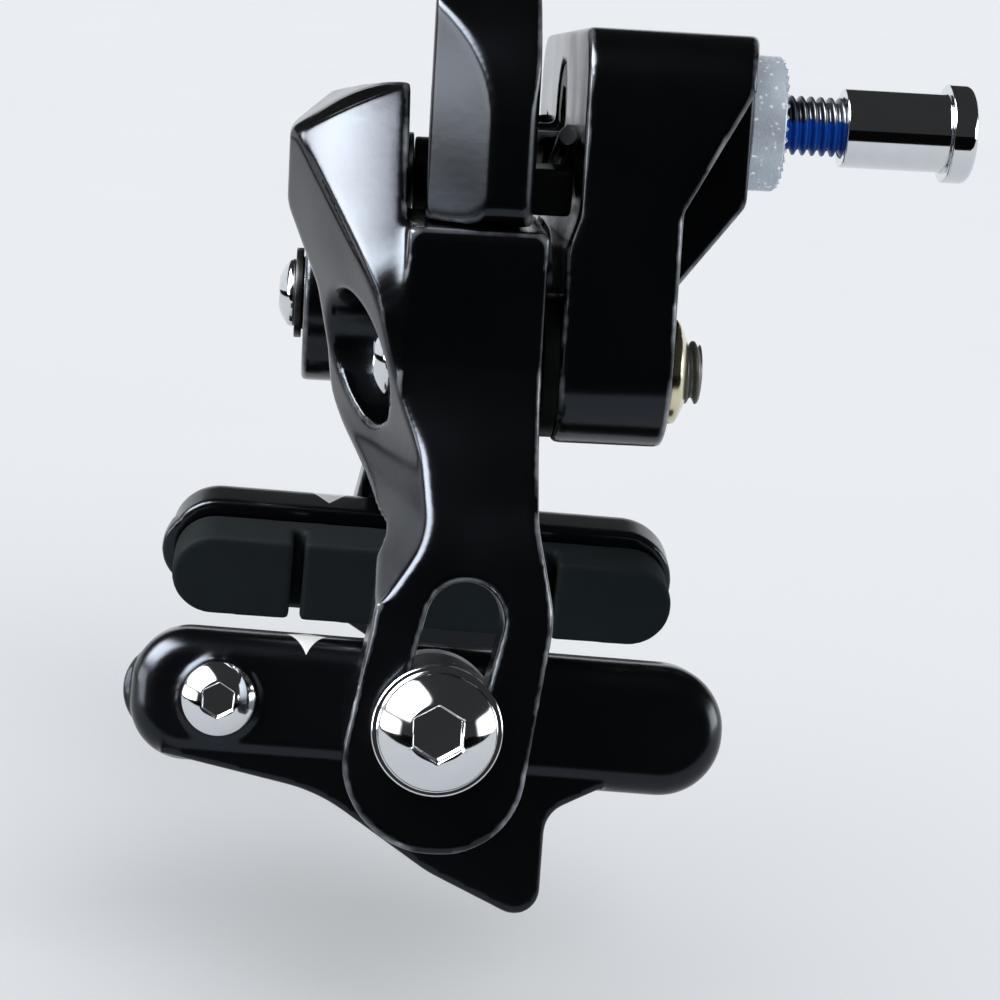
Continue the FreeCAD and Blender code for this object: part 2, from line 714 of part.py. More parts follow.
def arm_flank(front_top):
    """An arm's outline from the side, front edge and rear edge; front_top is its upper front run."""
    low = PAD_CENTRE_Z - TOE_DROP
    return [
        (PAD_CENTRE_Y - TOE_FRONT, low, TOE_FRONT_R), (PAD_CENTRE_Y + TOE_REAR, low, TOE_REAR_R),
        (ARM_REAR - CALF_DEPTH, PIVOT_Z - CALF_DROP, CALF_R), (ARM_REAR, PIVOT_Z - HEEL_DROP, WAIST_R),
        (ARM_REAR, ARM_CEILING, 0), *front_top, (ARM_REAR - CHIN_DEPTH, PIVOT_Z - CHIN_DROP, CHIN_R),
        (ARM_REAR - WAIST_DEPTH, PIVOT_Z - WAIST_DROP, WAIST_R),
        (ARM_REAR - KNEE_DEPTH, PIVOT_Z - KNEE_DROP, KNEE_R)]


def slot_upward():
    """The slot's direction, in the closed pose."""
    lean = math.radians(SLOT_LEAN)
    return V(0, math.sin(lean), math.cos(lean))


def shoe_slot(side):
    """The leaning slot that the pad bolt slides in."""
    low = V(0, PAD_CENTRE_Y, PAD_CENTRE_Z)
    lean = math.radians(SLOT_LEAN)
    up = slot_upward()
    across = V(0, math.cos(lean), -math.sin(lean)) * SLOT_HALF_WIDTH
    high = low + up * REACH_TRAVEL
    corners = [low - across, low + across, high + across, high - across]
    cut = Part.Face(Part.makePolygon(corners + corners[:1])).extrude(V(LONG, 0, 0))
    for end in (low, high):
        cut = cut.fuse(rod(end, X_AXIS, LONG, SLOT_HALF_WIDTH))
    return opened(mirrored(cut, side), side)


def horn_outline():
    """The horn from the front, over its top from the arm's side to the tip and back underneath."""
    tip_x = ANCHOR_X - HORN_TIP_R
    tip_r = HORN_TIP_R - RUN_LEFT
    return [
        (ARM_SIDE_X, HORN_ROOT_Z, HORN_ROOT_R), (HORN_SHOULDER_X, HORN_TOP, HORN_SHOULDER_R),
        (HORN_BEND_X, HORN_TOP - HORN_BEND_DROP, HORN_BEND_R),
        (tip_x, ANCHOR_Z + HORN_TIP_R, tip_r), (tip_x, ANCHOR_Z - HORN_TIP_R, tip_r - 3 * RUN_LEFT),
        (HORN_BEND_X, HORN_BOTTOM - HORN_BEND_SAG, HORN_BEND_R), (HORN_BOTTOM_X, HORN_BOTTOM, HORN_BOTTOM_R),
        (PIVOT_X - ARM_BOSS_R, ARMPIT_Z, ARMPIT_R)]


def horn_flank():
    """The horn's upper front run from the side, over its crown and down its brow to the jaw."""
    return [
        (HORN_REAR, ARM_CEILING, 0), (HORN_REAR, HORN_TOP + RUN_LEFT, 0),
        (HORN_REAR - CROWN_DEPTH, HORN_TOP - CROWN_DROP, CROWN_BEND_R),
        (HORN_FRONT, HORN_TOP - BROW_DROP, BROW_EDGE_R), (HORN_FRONT, BROW_Z, BROW_R),
        (HORN_REAR - CHEEK_DEPTH, CHEEK_Z, CHEEK_R), (HORN_REAR - JAW_DEPTH, JAW_Z, JAW_R)]


def facet_cutter():
    """What is cut off the horn's side, so that a facet leads from the arm's side up to the crown."""
    top = FACET_Z + (ARM_SIDE_X - FACET_INNER_X) * FACET_RISE
    low = FACET_Z - FACET_LEAD_DROP
    outline = [
        (ARM_SIDE_X + FACET_LEAD, low, 0), (ARM_SIDE_X, FACET_Z, FACET_R), (FACET_INNER_X, top, 0),
        (LONG, top, 0), (LONG, low, 0)]
    along = V(0, 1, FACET_SWEEP) * LONG
    start = V(0, HORN_REAR - FACET_DEPTH, 0) - along / 2
    wire = rounded_wire(outline, lambda x, z: start + V(x, 0, z))
    return Part.Face(wire).extrude(along)


def front_face_cutter():
    """What is cut off the arm's front, so that a slanting face holds the pivot's recess."""
    edge = [
        (FACE_TOP_DEPTH, FACE_TOP_Z, 0), (FACE_CHEEK_DEPTH, FACE_CHEEK_Z, FACE_CHEEK_R),
        (FACE_WAIST_DEPTH, FACE_WAIST_Z, FACE_WAIST_R), (FACE_KNEE_DEPTH, FACE_KNEE_Z, FACE_KNEE_R),
        (FACE_END_DEPTH, FACE_END_Z, 0), (LONG, FACE_END_Z, 0), (LONG, FACE_TOP_Z, 0)]
    along = V(1, FACE_SLANT, 0) * LONG
    start = V(ARM_SIDE_X, HORN_REAR, 0) - along / 2
    wire = rounded_wire(edge, lambda depth, z: start + V(0, -depth, z))
    return Part.Face(wire).extrude(along)


def tip_cutter():
    """What is cut off the front of the horn's thin tip."""
    return plan_prism([
        (TIP_TAPER_FROM, -LONG, 0), (TIP_TAPER_FROM, HORN_FRONT, 0),
        (TIP_TAPER_TO, HORN_TIP_FRONT, TIP_TAPER_R), (-LONG, HORN_TIP_FRONT, 0), (-LONG, -LONG, 0)],
        -LONG, LONG)


def make_right_arm():
    """The arm on the right pad, whose horn crosses in front to the cable anchor on the left."""
    outer, inner = blade_outline()
    shelf = [(ARM_SIDE_X, SHELF_Z, 0), (PIVOT_X - ARM_BOSS_R, SHELF_Z, 0)]
    front = front_prism(outer + horn_outline() + inner, HORN_FRONT - OVERSHOOT, HORN_REAR)
    crest = beyond(V(CREST_X, HORN_REAR - CREST_DEPTH, CREST_Z), facing(CREST_TURN, CREST_TILT))
    front = front.cut([facet_cutter(), crest])
    rear = front_prism(outer + shelf + inner, HORN_REAR, ARM_REAR + LONG)
    arm = front.fuse(rear).common(side_prism(arm_flank(horn_flank()), -LONG, LONG))
    arm = arm.cut([front_face_cutter(), tip_cutter()])
    arm = arm.cut(rod(pivot(1) + V(0, -LONG, 0), Y_AXIS, LONG, SLEEVE_TUBE_R + RUNNING_FIT))
    floor = head_seat(1) + HEAD_WASHER_T + FACE_GAP
    arm = arm.cut(rod(pivot(1) + V(0, floor, 0), V(0, -1, 0), LONG, RECESS_R))
    arm = arm.cut(rod(V(0, ROLLER_PIN_FRONT, ROLLER_Z), Y_AXIS, LONG, ROLLER_PIN_R + SCREW_FIT))
    arm = arm.cut(rod(V(ANCHOR_X, -LONG, ANCHOR_Z), Y_AXIS, LONG, SPINDLE_R + RUNNING_FIT))
    return arm.cut(shoe_slot(1)).removeSplitter()


def roller_in_left_arm(angle):
    """Where the roller's centre stands over the left arm when both arms have closed by an angle."""
    turn = math.radians(angle)
    shift = PIVOT_X * (1 - math.cos(turn)) + (ROLLER_Z - PIVOT_Z) * math.sin(turn)
    return 2 * shift * math.cos(turn), ROLLER_Z - 2 * shift * math.sin(turn)


def cam_radius():
    """The radius of the roller's path over the left arm."""
    across, height = roller_in_left_arm(TRAVEL_ANGLE)
    drop = ROLLER_Z - height
    return (across ** 2 + drop ** 2) / (2 * drop)


def make_arch():
    """The left arm's bar over the roller, its hook end on the right and the adjuster's lug on the left."""
    lug_top = LUG_BOTTOM + LUG_HEIGHT
    hook_bottom = SHELF_Z + FACE_GAP
    hook_x = ARM_SIDE_X - HOOK_INSET
    arch = front_prism([
        (hook_x, hook_bottom, HOOK_EDGE_R), (hook_x, ARCH_OUTER_TOP - HOOK_SHOULDER_DROP, HOOK_SHOULDER_R),
        (0.0, ARCH_OUTER_TOP, ARCH_OUTER_R), (ARCH_TOP_X, lug_top, ARCH_TOP_R),
        (ARCH_NECK_X, ARCH_NECK_Z, ARCH_NECK_R), (-ARM_SIDE_X - ARCH_ROOT_PROUD, ARCH_ROOT_Z, ARCH_ROOT_R),
        (-ARM_SIDE_X - ARCH_FOOT_PROUD, PIVOT_Z, 0), (-PIVOT_X + ARM_BOSS_R, PIVOT_Z, 0),
        (HOOK_INNER_X, hook_bottom, 0)], ARCH_FRONT, ARCH_REAR)
    path_r = cam_radius()
    cam = rod(V(0, -LONG, ROLLER_Z - path_r), Y_AXIS, LONG, path_r + ROLLER_R + ROLLER_GAP)
    hook_bevel = beyond(V(hook_x, ARCH_REAR - HOOK_BEVEL_DEPTH, 0), facing(HOOK_BEVEL_TURN, 0))
    hook_face = beyond(V(hook_x, ARCH_FRONT + HOOK_FACE_DEPTH, 0), facing(HOOK_FACE_TURN, 0))
    taper = beyond(V(hook_x, ARCH_FRONT, 0), facing(ARCH_TAPER_TURN, 0))
    lug = plan_prism([
        (LUG_ROOT_X, ARCH_REAR, 0), (ADJUSTER_X, ADJUSTER_Y + LUG_R, 0),
        (ADJUSTER_X - LUG_R, ADJUSTER_Y + LUG_R, LUG_R - RUN_LEFT / 2),
        (ADJUSTER_X - LUG_R, ADJUSTER_Y - LUG_R, LUG_R - RUN_LEFT / 2),
        (ADJUSTER_X + LUG_R, ADJUSTER_Y - LUG_R, LUG_NECK_R), (LUG_NECK_X, ARCH_FRONT, LUG_NECK_R),
        (LUG_ROOT_X, ARCH_FRONT, 0)], LUG_BOTTOM, lug_top)
    return arch.cut([cam, hook_bevel, hook_face, taper]).fuse(lug)


def make_left_arm():
    """The arm on the left pad, whose arch crosses behind to the right and rests on the roller."""
    outer, inner = blade_outline()
    crown_z = PIVOT_Z + CROWN_RISE
    crown = [(ARM_SIDE_X, crown_z, CROWN_R), (PIVOT_X - ARM_BOSS_R, crown_z, CROWN_R)]
    blade = front_prism(outer + crown + inner, HORN_FRONT - OVERSHOOT, ARM_REAR + LONG)
    front_top = [(ARM_REAR - LEFT_CROWN_DEPTH, ARM_CEILING, 0)]
    blade = mirrored(blade.common(side_prism(arm_flank(front_top), -LONG, LONG)), -1)
    boss = rod(pivot(-1) + V(0, LEFT_BOSS_FRONT, 0), Y_AXIS, ARM_REAR - LEFT_BOSS_FRONT, ARM_BOSS_R)
    arm = make_arch().fuse([blade, boss])
    arm = arm.cut(rod(pivot(-1) + V(0, -LONG, 0), Y_AXIS, LONG, SLEEVE_TUBE_R + RUNNING_FIT))
    arm = arm.cut(rod(V(ADJUSTER_X, ADJUSTER_Y, LUG_BOTTOM), Z_AXIS, LUG_HEIGHT, STEM_R + RUNNING_FIT))
    peg = V(slider_x(), ARCH_REAR - SLIDER_PEG_LEN, slider_top() - SLIDER_H / 2)
    arm = arm.cut(rod(peg, Y_AXIS, SLIDER_PEG_LEN, SLIDER_PEG_R + SCREW_FIT))
    return arm.cut(shoe_slot(-1)).removeSplitter()


def slider_x():
    """The spring slider's middle along X."""
    return SPRING_FOOT_X + SPRING_REACH / 2


def slider_top():
    """The spring slider's bearing height under the wire's tip."""
    rise = (SPRING_END_Z - spring_crest()) / SPRING_FOOT_X
    below_wire = SPRING_WIRE_R / math.cos(math.atan(rise)) + FACE_GAP
    return SPRING_END_Z + rise * (SPRING_REACH / 2 - SLIDER_LEN / 2) - below_wire


def make_spring_slider():
    """The block on the left arm that the spring presses on, held by a peg."""
    top = slider_top()
    x_range = (slider_x() - SLIDER_LEN / 2, slider_x() + SLIDER_LEN / 2)
    body = block(x_range, (ARCH_REAR, BRIDGE_FRONT - 2 * FACE_GAP), (top - SLIDER_H, top))
    peg = V(slider_x(), ARCH_REAR - SLIDER_PEG_LEN, top - SLIDER_H / 2)
    return body.fuse(rod(peg, Y_AXIS, SLIDER_PEG_LEN, SLIDER_PEG_R))


# Sync roller

def make_sync_pin():
    """The shoulder pin on the back of the horn."""
    end = ARCH_REAR + ROLLER_CLIP_T
    pin = rod(V(0, ROLLER_PIN_FRONT, ROLLER_Z), Y_AXIS, end - ROLLER_PIN_FRONT, ROLLER_PIN_R)
    return pin.fuse(rod(V(0, HORN_REAR, ROLLER_Z), Y_AXIS, ROLLER_FLANGE_T, ROLLER_FLANGE_R))


def make_sync_roller():
    """The roller that the left arm's arch rests on."""
    front = HORN_REAR + ROLLER_FLANGE_T + FACE_GAP
    length = ARCH_REAR - FACE_GAP - front
    return tube(V(0, front, ROLLER_Z), Y_AXIS, length, ROLLER_R, ROLLER_PIN_R + RUNNING_FIT)


def make_roller_clip():
    """The clip that keeps the roller on its pin."""
    return tube(V(0, ARCH_REAR, ROLLER_Z), Y_AXIS, ROLLER_CLIP_T, ROLLER_CLIP_R, ROLLER_PIN_R + SCREW_FIT)


# Quick release and cable anchor

def make_quick_release_lever():
    """The lever with its spindle in the horn's tip."""
    centre = V(ANCHOR_X, LEVER_FRONT, ANCHOR_Z)
    rise = math.radians(LEVER_RISE)
    tip = centre + V(math.cos(rise), 0, math.sin(rise)) * LEVER_LEN
    across = V(-math.sin(rise), 0, math.cos(rise))
    sides = [centre + across * LEVER_ROOT_HALF, centre - across * LEVER_ROOT_HALF,
             tip - across * LEVER_TIP_R, tip + across * LEVER_TIP_R]
    web = Part.Face(Part.makePolygon(sides + sides[:1])).extrude(V(0, LEVER_T, 0))
    lever = rod(centre, Y_AXIS, LEVER_T, LEVER_HUB_R).fuse([web, rod(tip, Y_AXIS, LEVER_T, LEVER_TIP_R)])
    spindle_len = ANCHOR_PLATE_FRONT - LEVER_BACK
    lever = lever.fuse(rod(V(ANCHOR_X, LEVER_BACK, ANCHOR_Z), Y_AXIS, spindle_len, SPINDLE_R))
    bolt = V(ANCHOR_X, LEVER_FRONT, ANCHOR_Z + ANCHOR_OFFSET)
    return lever.cut(rod(bolt, Y_AXIS, LONG, ANCHOR_BOLT_R + SCREW_FIT)).removeSplitter()


def make_anchor_bolt():
    """The bolt that clamps the cable."""
    seat = V(ANCHOR_X, LEVER_FRONT, ANCHOR_Z + ANCHOR_OFFSET)
    end = ANCHOR_PLATE_FRONT + ANCHOR_PLATE_T
    head = rod(seat + V(0, -ANCHOR_HEAD_H, 0), Y_AXIS, ANCHOR_HEAD_H, ANCHOR_HEAD_R)
    socket = hex_bar(seat + V(0, -ANCHOR_HEAD_H, 0), Y_AXIS, ANCHOR_SOCKET_DEPTH, ANCHOR_SOCKET_AF)
    return head.cut(socket).fuse(rod(seat, Y_AXIS, end - LEVER_FRONT, ANCHOR_BOLT_R))


def make_anchor_plate():
    """The clamp plate behind the spindle, flat on its outer side."""
    start = V(ANCHOR_X, ANCHOR_PLATE_FRONT, ANCHOR_Z + ANCHOR_OFFSET)
    plate = tube(start, Y_AXIS, ANCHOR_PLATE_T, ANCHOR_PLATE_R, ANCHOR_BOLT_R + SCREW_FIT)
    return plate.cut(beyond(start + V(-ANCHOR_PLATE_FLAT, 0, 0), V(-1, 0, 0)))


# Barrel adjuster

def make_barrel_adjuster():
    """The knob with its threaded stem, bored for the cable housing."""
    lug_top = LUG_BOTTOM + LUG_HEIGHT
    knob_z = lug_top + RING_T
    centre = V(ADJUSTER_X, ADJUSTER_Y, 0)
    stem = rod(centre + V(0, 0, LUG_BOTTOM), Z_AXIS, knob_z - LUG_BOTTOM, STEM_R)
    knob = rod(centre + V(0, 0, knob_z), Z_AXIS, KNOB_GRIP_H, KNOB_R)
    for k in range(KNURL_FLUTES):
        a = 2 * math.pi * k / KNURL_FLUTES
        flute = centre + V(KNOB_R * math.cos(a), KNOB_R * math.sin(a), knob_z)
        knob = knob.cut(rod(flute, Z_AXIS, KNOB_GRIP_H, KNURL_R))
    grip_top = centre + V(0, 0, knob_z + KNOB_GRIP_H)
    neck = Part.makeCone(KNOB_R - KNURL_R, KNOB_TOP_R, KNOB_H - KNOB_GRIP_H, grip_top)
    top = knob_z + KNOB_H
    barrel = stem.fuse([knob, neck])
    barrel = barrel.cut(rod(centre + V(0, 0, top - HOUSING_DEPTH), Z_AXIS, HOUSING_DEPTH, HOUSING_R))
    return barrel.cut(rod(centre + V(0, 0, LUG_BOTTOM), Z_AXIS, top - LUG_BOTTOM, CABLE_R))


def make_adjuster_ring():
    """The rubber ring between knob and lug."""
    start = V(ADJUSTER_X, ADJUSTER_Y, LUG_BOTTOM + LUG_HEIGHT + FACE_GAP)
    return tube(start, Z_AXIS, RING_T - FACE_GAP, RING_R, STEM_R + SCREW_FIT)


# Brake shoes

def bar_outline(length, height, front_r, rear_r):
    """A long rounded outline about the shoe's centre, in Y and Z."""
    front, rear = PAD_CENTRE_Y - length / 2, PAD_CENTRE_Y + length / 2
    low, high = PAD_CENTRE_Z - height / 2, PAD_CENTRE_Z + height / 2
    return [(front, low, front_r), (rear, low, rear_r), (rear, high, rear_r), (front, high, front_r)]


def pitched(shape):
    """A shoe piece tipped to the pads' pitch about the pad bolt."""
    return shape.copy().rotate(V(0, PAD_CENTRE_Y, PAD_CENTRE_Z), X_AXIS, -PAD_PITCH)


def placed(shape, side):
    """A right-hand shoe piece, on its own side with the arm open; the left shoe sits higher in its slot."""
    piece = mirrored(shape, side).copy()
    if side < 0:
        piece.translate(slot_upward() * LEFT_SHOE_RAISE)
    return opened(piece, side)


def on_bolt_axis(x):
    """A point on the pad bolt's axis."""
    return V(x, PAD_CENTRE_Y, PAD_CENTRE_Z)


def pad_screw_at(x):
    """A point on the pad screw's axis."""
    return V(x, PAD_CENTRE_Y - PAD_LEN / 2 + PAD_SCREW_INSET, PAD_CENTRE_Z)


def pad_screw_tip():
    """Where the pad screw ends, inside the rubber's neck."""
    return HOLDER_INNER + PAD_NECK_DEPTH - PAD_SCREW_BITE


def guide_outline():
    """The wheel guide that sweeps down under the holder, in Y and Z."""
    y, z = PAD_CENTRE_Y, PAD_CENTRE_Z
    return [
        (y - GUIDE_FRONT, z - GUIDE_ROOT, 0), (y - GUIDE_FRONT, z - GUIDE_FRONT_DROP, 0),
        (y - GUIDE_BELLY_FRONT, z - GUIDE_BELLY_DROP, GUIDE_BELLY_R),
        (y + GUIDE_SWEEP_REAR, z - GUIDE_SWEEP_DROP, GUIDE_SWEEP_R),
        (y + GUIDE_TIP_REAR, z - GUIDE_TIP_DROP, GUIDE_TIP_R),
        (y + GUIDE_BACK_REAR, z - GUIDE_BACK_DROP, GUIDE_BACK_R),
        (y + GUIDE_REAR, z - GUIDE_REAR_DROP, 0), (y + GUIDE_REAR, z - GUIDE_ROOT, 0)]


def make_pad():
    """The rubber block, with a neck that sits in the holder's channel."""
    end_r = (PAD_H - RUN_LEFT) / 2
    block_part = side_prism(bar_outline(PAD_LEN, PAD_H, end_r, end_r), RIM_HALF_WIDTH, HOLDER_INNER)
    neck_h = PAD_H - 2 * PAD_NECK_INSET
    neck_r = (neck_h - RUN_LEFT) / 2
    neck = side_prism(bar_outline(PAD_LEN - 2 * PAD_NECK_INSET, neck_h, neck_r, neck_r),
                      HOLDER_INNER, HOLDER_INNER + PAD_NECK_DEPTH)
    pad = block_part.fuse(neck)
    for y in (-PAD_GROOVE_Y, PAD_GROOVE_Y):
        middle = PAD_CENTRE_Y + y
        pad = pad.cut(block((RIM_HALF_WIDTH, RIM_HALF_WIDTH + PAD_GROOVE_DEPTH),
                            (middle - PAD_GROOVE_W / 2, middle + PAD_GROOVE_W / 2),
                            (PAD_CENTRE_Z - PAD_H, PAD_CENTRE_Z + PAD_H)))
    hole = rod(pad_screw_at(pad_screw_tip() - FACE_GAP), X_AXIS, PAD_NECK_DEPTH, PAD_SCREW_R + SCREW_FIT)
    return pitched(pad.cut(hole).removeSplitter())


def make_pad_holder():
    """The holder with its channel, screw boss and wheel guide."""
    shell = side_prism(bar_outline(HOLDER_LEN, HOLDER_H, HOLDER_NOSE_R, HOLDER_H / 2 - RUN_LEFT),
                       HOLDER_INNER, HOLDER_OUTER)
    middle = HOLDER_INNER + HOLDER_T / 2
    shell = shell.makeFillet(HOLDER_EDGE_R, [e for e in shell.Edges if e.BoundBox.XMin > middle])
    guide_outer = HOLDER_OUTER - GUIDE_INSET
    guide = side_prism(guide_outline(), guide_outer - GUIDE_T, guide_outer)
    boss_root = HOLDER_OUTER - SCREW_BOSS_LIP
    seat_r = PAD_SCREW_HEAD_R + SCREW_BOSS_LIP
    seat = rod(pad_screw_at(boss_root), X_AXIS, SCREW_BOSS_LIP + SCREW_BOSS_H, seat_r)
    lip_y = PAD_CENTRE_Y - HOLDER_LEN / 2 - HOLDER_LIP_PROUD + HOLDER_LIP_R
    lip = rod(V(HOLDER_INNER, lip_y, PAD_CENTRE_Z), X_AXIS, HOLDER_LIP_T, HOLDER_LIP_R)
    shell = shell.fuse([guide, seat, lip])
    channel_h = PAD_H - 2 * PAD_NECK_INSET + 2 * FACE_GAP
    channel_len = PAD_LEN - 2 * PAD_NECK_INSET + 2 * FACE_GAP
    channel_r = (channel_h - RUN_LEFT) / 2
    channel = side_prism(bar_outline(channel_len, channel_h, channel_r, channel_r),
                         HOLDER_INNER, HOLDER_INNER + PAD_NECK_DEPTH + FACE_GAP)
    shell = shell.cut(channel)
    shell = shell.cut(rod(on_bolt_axis(HOLDER_INNER), X_AXIS, LONG, PAD_BOLT_R + SCREW_FIT))
    shell = shell.cut(rod(pad_screw_at(HOLDER_INNER), X_AXIS, LONG, PAD_SCREW_R + SCREW_FIT))
    return pitched(shell.removeSplitter())


def make_pad_screw():
    """The small screw that locks the pad in its holder."""
    seat = HOLDER_OUTER + SCREW_BOSS_H
    head = dome_head(pad_screw_at(seat), X_AXIS, PAD_SCREW_HEAD_R, PAD_SCREW_HEAD_H,
                     PAD_SCREW_SOCKET_AF, PAD_SCREW_SOCKET_DEPTH)
    tip = pad_screw_tip()
    return pitched(head.fuse(rod(pad_screw_at(tip), X_AXIS, seat - tip, PAD_SCREW_R)))


def make_pad_bolt():
    """The flanged button-head bolt that clamps the shoe to the arm."""
    seat = FLANGE_SEAT
    flange = rod(on_bolt_axis(seat), X_AXIS, FLANGE_T, FLANGE_R)
    head = dome_head(on_bolt_axis(seat + FLANGE_T), X_AXIS, PAD_BOLT_HEAD_R, PAD_BOLT_HEAD_H,
                     PAD_BOLT_SOCKET_AF, PAD_BOLT_SOCKET_DEPTH)
    tip = HOLDER_INNER + PAD_NECK_DEPTH + 2 * FACE_GAP
    return flange.fuse([head, rod(on_bolt_axis(tip), X_AXIS, seat - tip, PAD_BOLT_R)])


def make_dished_washer():
    """The dished washer between bolt flange and arm."""
    start = BLADE_OUTER_X + FACE_GAP
    return tube(on_bolt_axis(start), X_AXIS, DISHED_T, DISHED_R, PAD_BOLT_R + SCREW_FIT)


def ball_centre():
    """The centre of the ball-shaped seat between the inner washers."""
    return on_bolt_axis(HOLDER_OUTER + BALL_CAP_DEPTH + BALL_R)


def make_concave_washer():
    """The cupped washer against the holder."""
    cup = tube(on_bolt_axis(HOLDER_OUTER), X_AXIS, CUP_T, BALL_WASHER_R, BALL_SEAT_R - CUP_BORE_INSET)
    return cup.cut(Part.makeSphere(BALL_R + FACE_GAP / 2, ball_centre()))


def make_convex_washer():
    """The ball-faced washer against the arm."""
    back = BLADE_INNER_X - FACE_GAP
    disc_t = back - HOLDER_OUTER - CUP_T - FACE_GAP
    disc = rod(on_bolt_axis(back - disc_t), X_AXIS, disc_t, BALL_WASHER_R)
    reach = back - HOLDER_OUTER - BALL_CAP_DEPTH
    ball = Part.makeSphere(BALL_R, ball_centre())
    cap = rod(on_bolt_axis(back - reach), X_AXIS, reach, BALL_SEAT_R).common(ball)
    return disc.fuse(cap).cut(rod(on_bolt_axis(HOLDER_OUTER), X_AXIS, LONG, PAD_BOLT_R + SCREW_FIT))


def build():
    """Write every node."""
    os.makedirs("parts", exist_ok=True)
    save("bridge", make_bridge())
    save("centre_bolt", make_centre_bolt())
    save("sleeve_nut", make_sleeve_nut())
    save("serrated_washer", make_serrated_washer())
    for side, name in ((1, "right"), (-1, "left")):
        save(f"{name}_pivot_bolt", make_pivot_bolt(side))
        save(f"{name}_pivot_nut", make_pivot_nut(side))
        save(f"{name}_pivot_sleeve", make_pivot_sleeve(side))
        save(f"{name}_thrust_washer", make_thrust_washer(side))
        save(f"{name}_head_washer", make_head_washer(side))
    save("return_spring", make_return_spring())
    save("right_arm", make_right_arm())
    save("left_arm", make_left_arm())
    save("spring_slider", make_spring_slider())
    save("sync_pin", make_sync_pin())
    save("sync_roller", make_sync_roller())
    save("roller_clip", make_roller_clip())
    save("quick_release_lever", make_quick_release_lever())
    save("anchor_bolt", make_anchor_bolt())
    save("anchor_plate", make_anchor_plate())
    save("barrel_adjuster", make_barrel_adjuster())
    save("adjuster_ring", make_adjuster_ring())
    shoe = {
        "pad": make_pad(), "pad_holder": make_pad_holder(), "pad_screw": make_pad_screw(),
        "pad_bolt": make_pad_bolt(), "dished_washer": make_dished_washer(),
        "concave_washer": make_concave_washer(), "convex_washer": make_convex_washer()}
    for side, name in ((1, "right"), (-1, "left")):
        for piece, shape in shoe.items():
            save(f"{name}_{piece}", placed(shape, side))


build()
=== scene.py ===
"""Looks of a dual-pivot caliper brake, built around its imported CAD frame.

The frame gives every piece its size and place, in metres. Each sub-assembly below softens the edges of its
solids, adds the threads, serrations and marks that the solids leave out, and dresses every piece.
"""
from __future__ import annotations

import json
import logging
import math
from dataclasses import dataclass, field, replace
from enum import Enum
from typing import Any, Callable

import bmesh
import bpy
import numpy as np
from mathutils import Matrix, Vector

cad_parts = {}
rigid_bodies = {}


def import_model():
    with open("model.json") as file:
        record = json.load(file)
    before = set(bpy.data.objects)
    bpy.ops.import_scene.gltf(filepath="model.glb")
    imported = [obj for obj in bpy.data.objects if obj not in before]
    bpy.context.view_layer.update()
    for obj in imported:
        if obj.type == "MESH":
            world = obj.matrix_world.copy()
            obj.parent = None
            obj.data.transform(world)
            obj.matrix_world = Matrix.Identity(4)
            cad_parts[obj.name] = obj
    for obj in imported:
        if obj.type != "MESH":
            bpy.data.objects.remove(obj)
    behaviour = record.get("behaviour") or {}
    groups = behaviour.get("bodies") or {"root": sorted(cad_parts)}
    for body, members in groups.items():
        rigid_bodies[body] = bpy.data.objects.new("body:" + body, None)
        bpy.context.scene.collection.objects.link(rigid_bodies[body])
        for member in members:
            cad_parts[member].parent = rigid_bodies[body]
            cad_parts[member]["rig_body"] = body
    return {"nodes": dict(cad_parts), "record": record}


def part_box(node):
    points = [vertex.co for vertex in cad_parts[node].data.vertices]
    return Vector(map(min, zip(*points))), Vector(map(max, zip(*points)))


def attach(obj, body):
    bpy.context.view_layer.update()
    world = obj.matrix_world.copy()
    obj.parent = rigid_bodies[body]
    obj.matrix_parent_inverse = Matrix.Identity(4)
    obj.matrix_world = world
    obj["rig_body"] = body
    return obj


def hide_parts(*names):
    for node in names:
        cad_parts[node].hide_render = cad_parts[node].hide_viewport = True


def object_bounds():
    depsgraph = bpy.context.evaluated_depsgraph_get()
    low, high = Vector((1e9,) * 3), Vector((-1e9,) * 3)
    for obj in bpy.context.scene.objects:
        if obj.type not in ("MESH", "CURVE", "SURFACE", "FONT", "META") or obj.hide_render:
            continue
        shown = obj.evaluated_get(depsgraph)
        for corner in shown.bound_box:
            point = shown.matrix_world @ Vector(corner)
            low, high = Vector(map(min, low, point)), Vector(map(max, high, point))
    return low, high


for leftover in list(bpy.data.objects):
    bpy.data.objects.remove(leftover)
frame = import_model()
CAD_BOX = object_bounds()

# Short names for types that many functions take.
Tree = bpy.types.NodeTree
Node = bpy.types.Node
Socket = bpy.types.NodeSocket
Form = bmesh.types.BMesh
Change = Callable[[Form], None]

MM = 0.001
# The point attribute that keeps how sharply a surface bends.
BEND = "bend"
# Points of a solid closer than this are one point, and faces that turn by less than this are one face.
WELD_MM = 0.002
FLAT_DEG = 0.7
# The least that the squared step between two points counts as, in square metres.
LEAST_SQUARE = 1e-12
# How strongly the finer layers of a noise count.
NOISE_ROUGHNESS = 0.55
# A thread's corners round the bar, the flat share of its crest and root, and turns that keep its phase above zero.
THREAD_CORNERS = 64
THREAD_FLAT = 0.12
TURNS_AHEAD = 100.0

log = logging.getLogger("caliper")


def linear(hex_colour: str) -> tuple[float, float, float, float]:
    """Turn an sRGB hex colour into a linear one.

    Args:
        hex_colour: Six hex digits, such as "1a2b3c".

    Returns:
        Linear red, green and blue, with an alpha of 1.
    """
    parts = [int(hex_colour[i:i + 2], 16) / 255 for i in (0, 2, 4)]
    red, green, blue = (c / 12.92 if c <= 0.04045 else ((c + 0.055) / 1.055) ** 2.4 for c in parts)
    return red, green, blue, 1.0


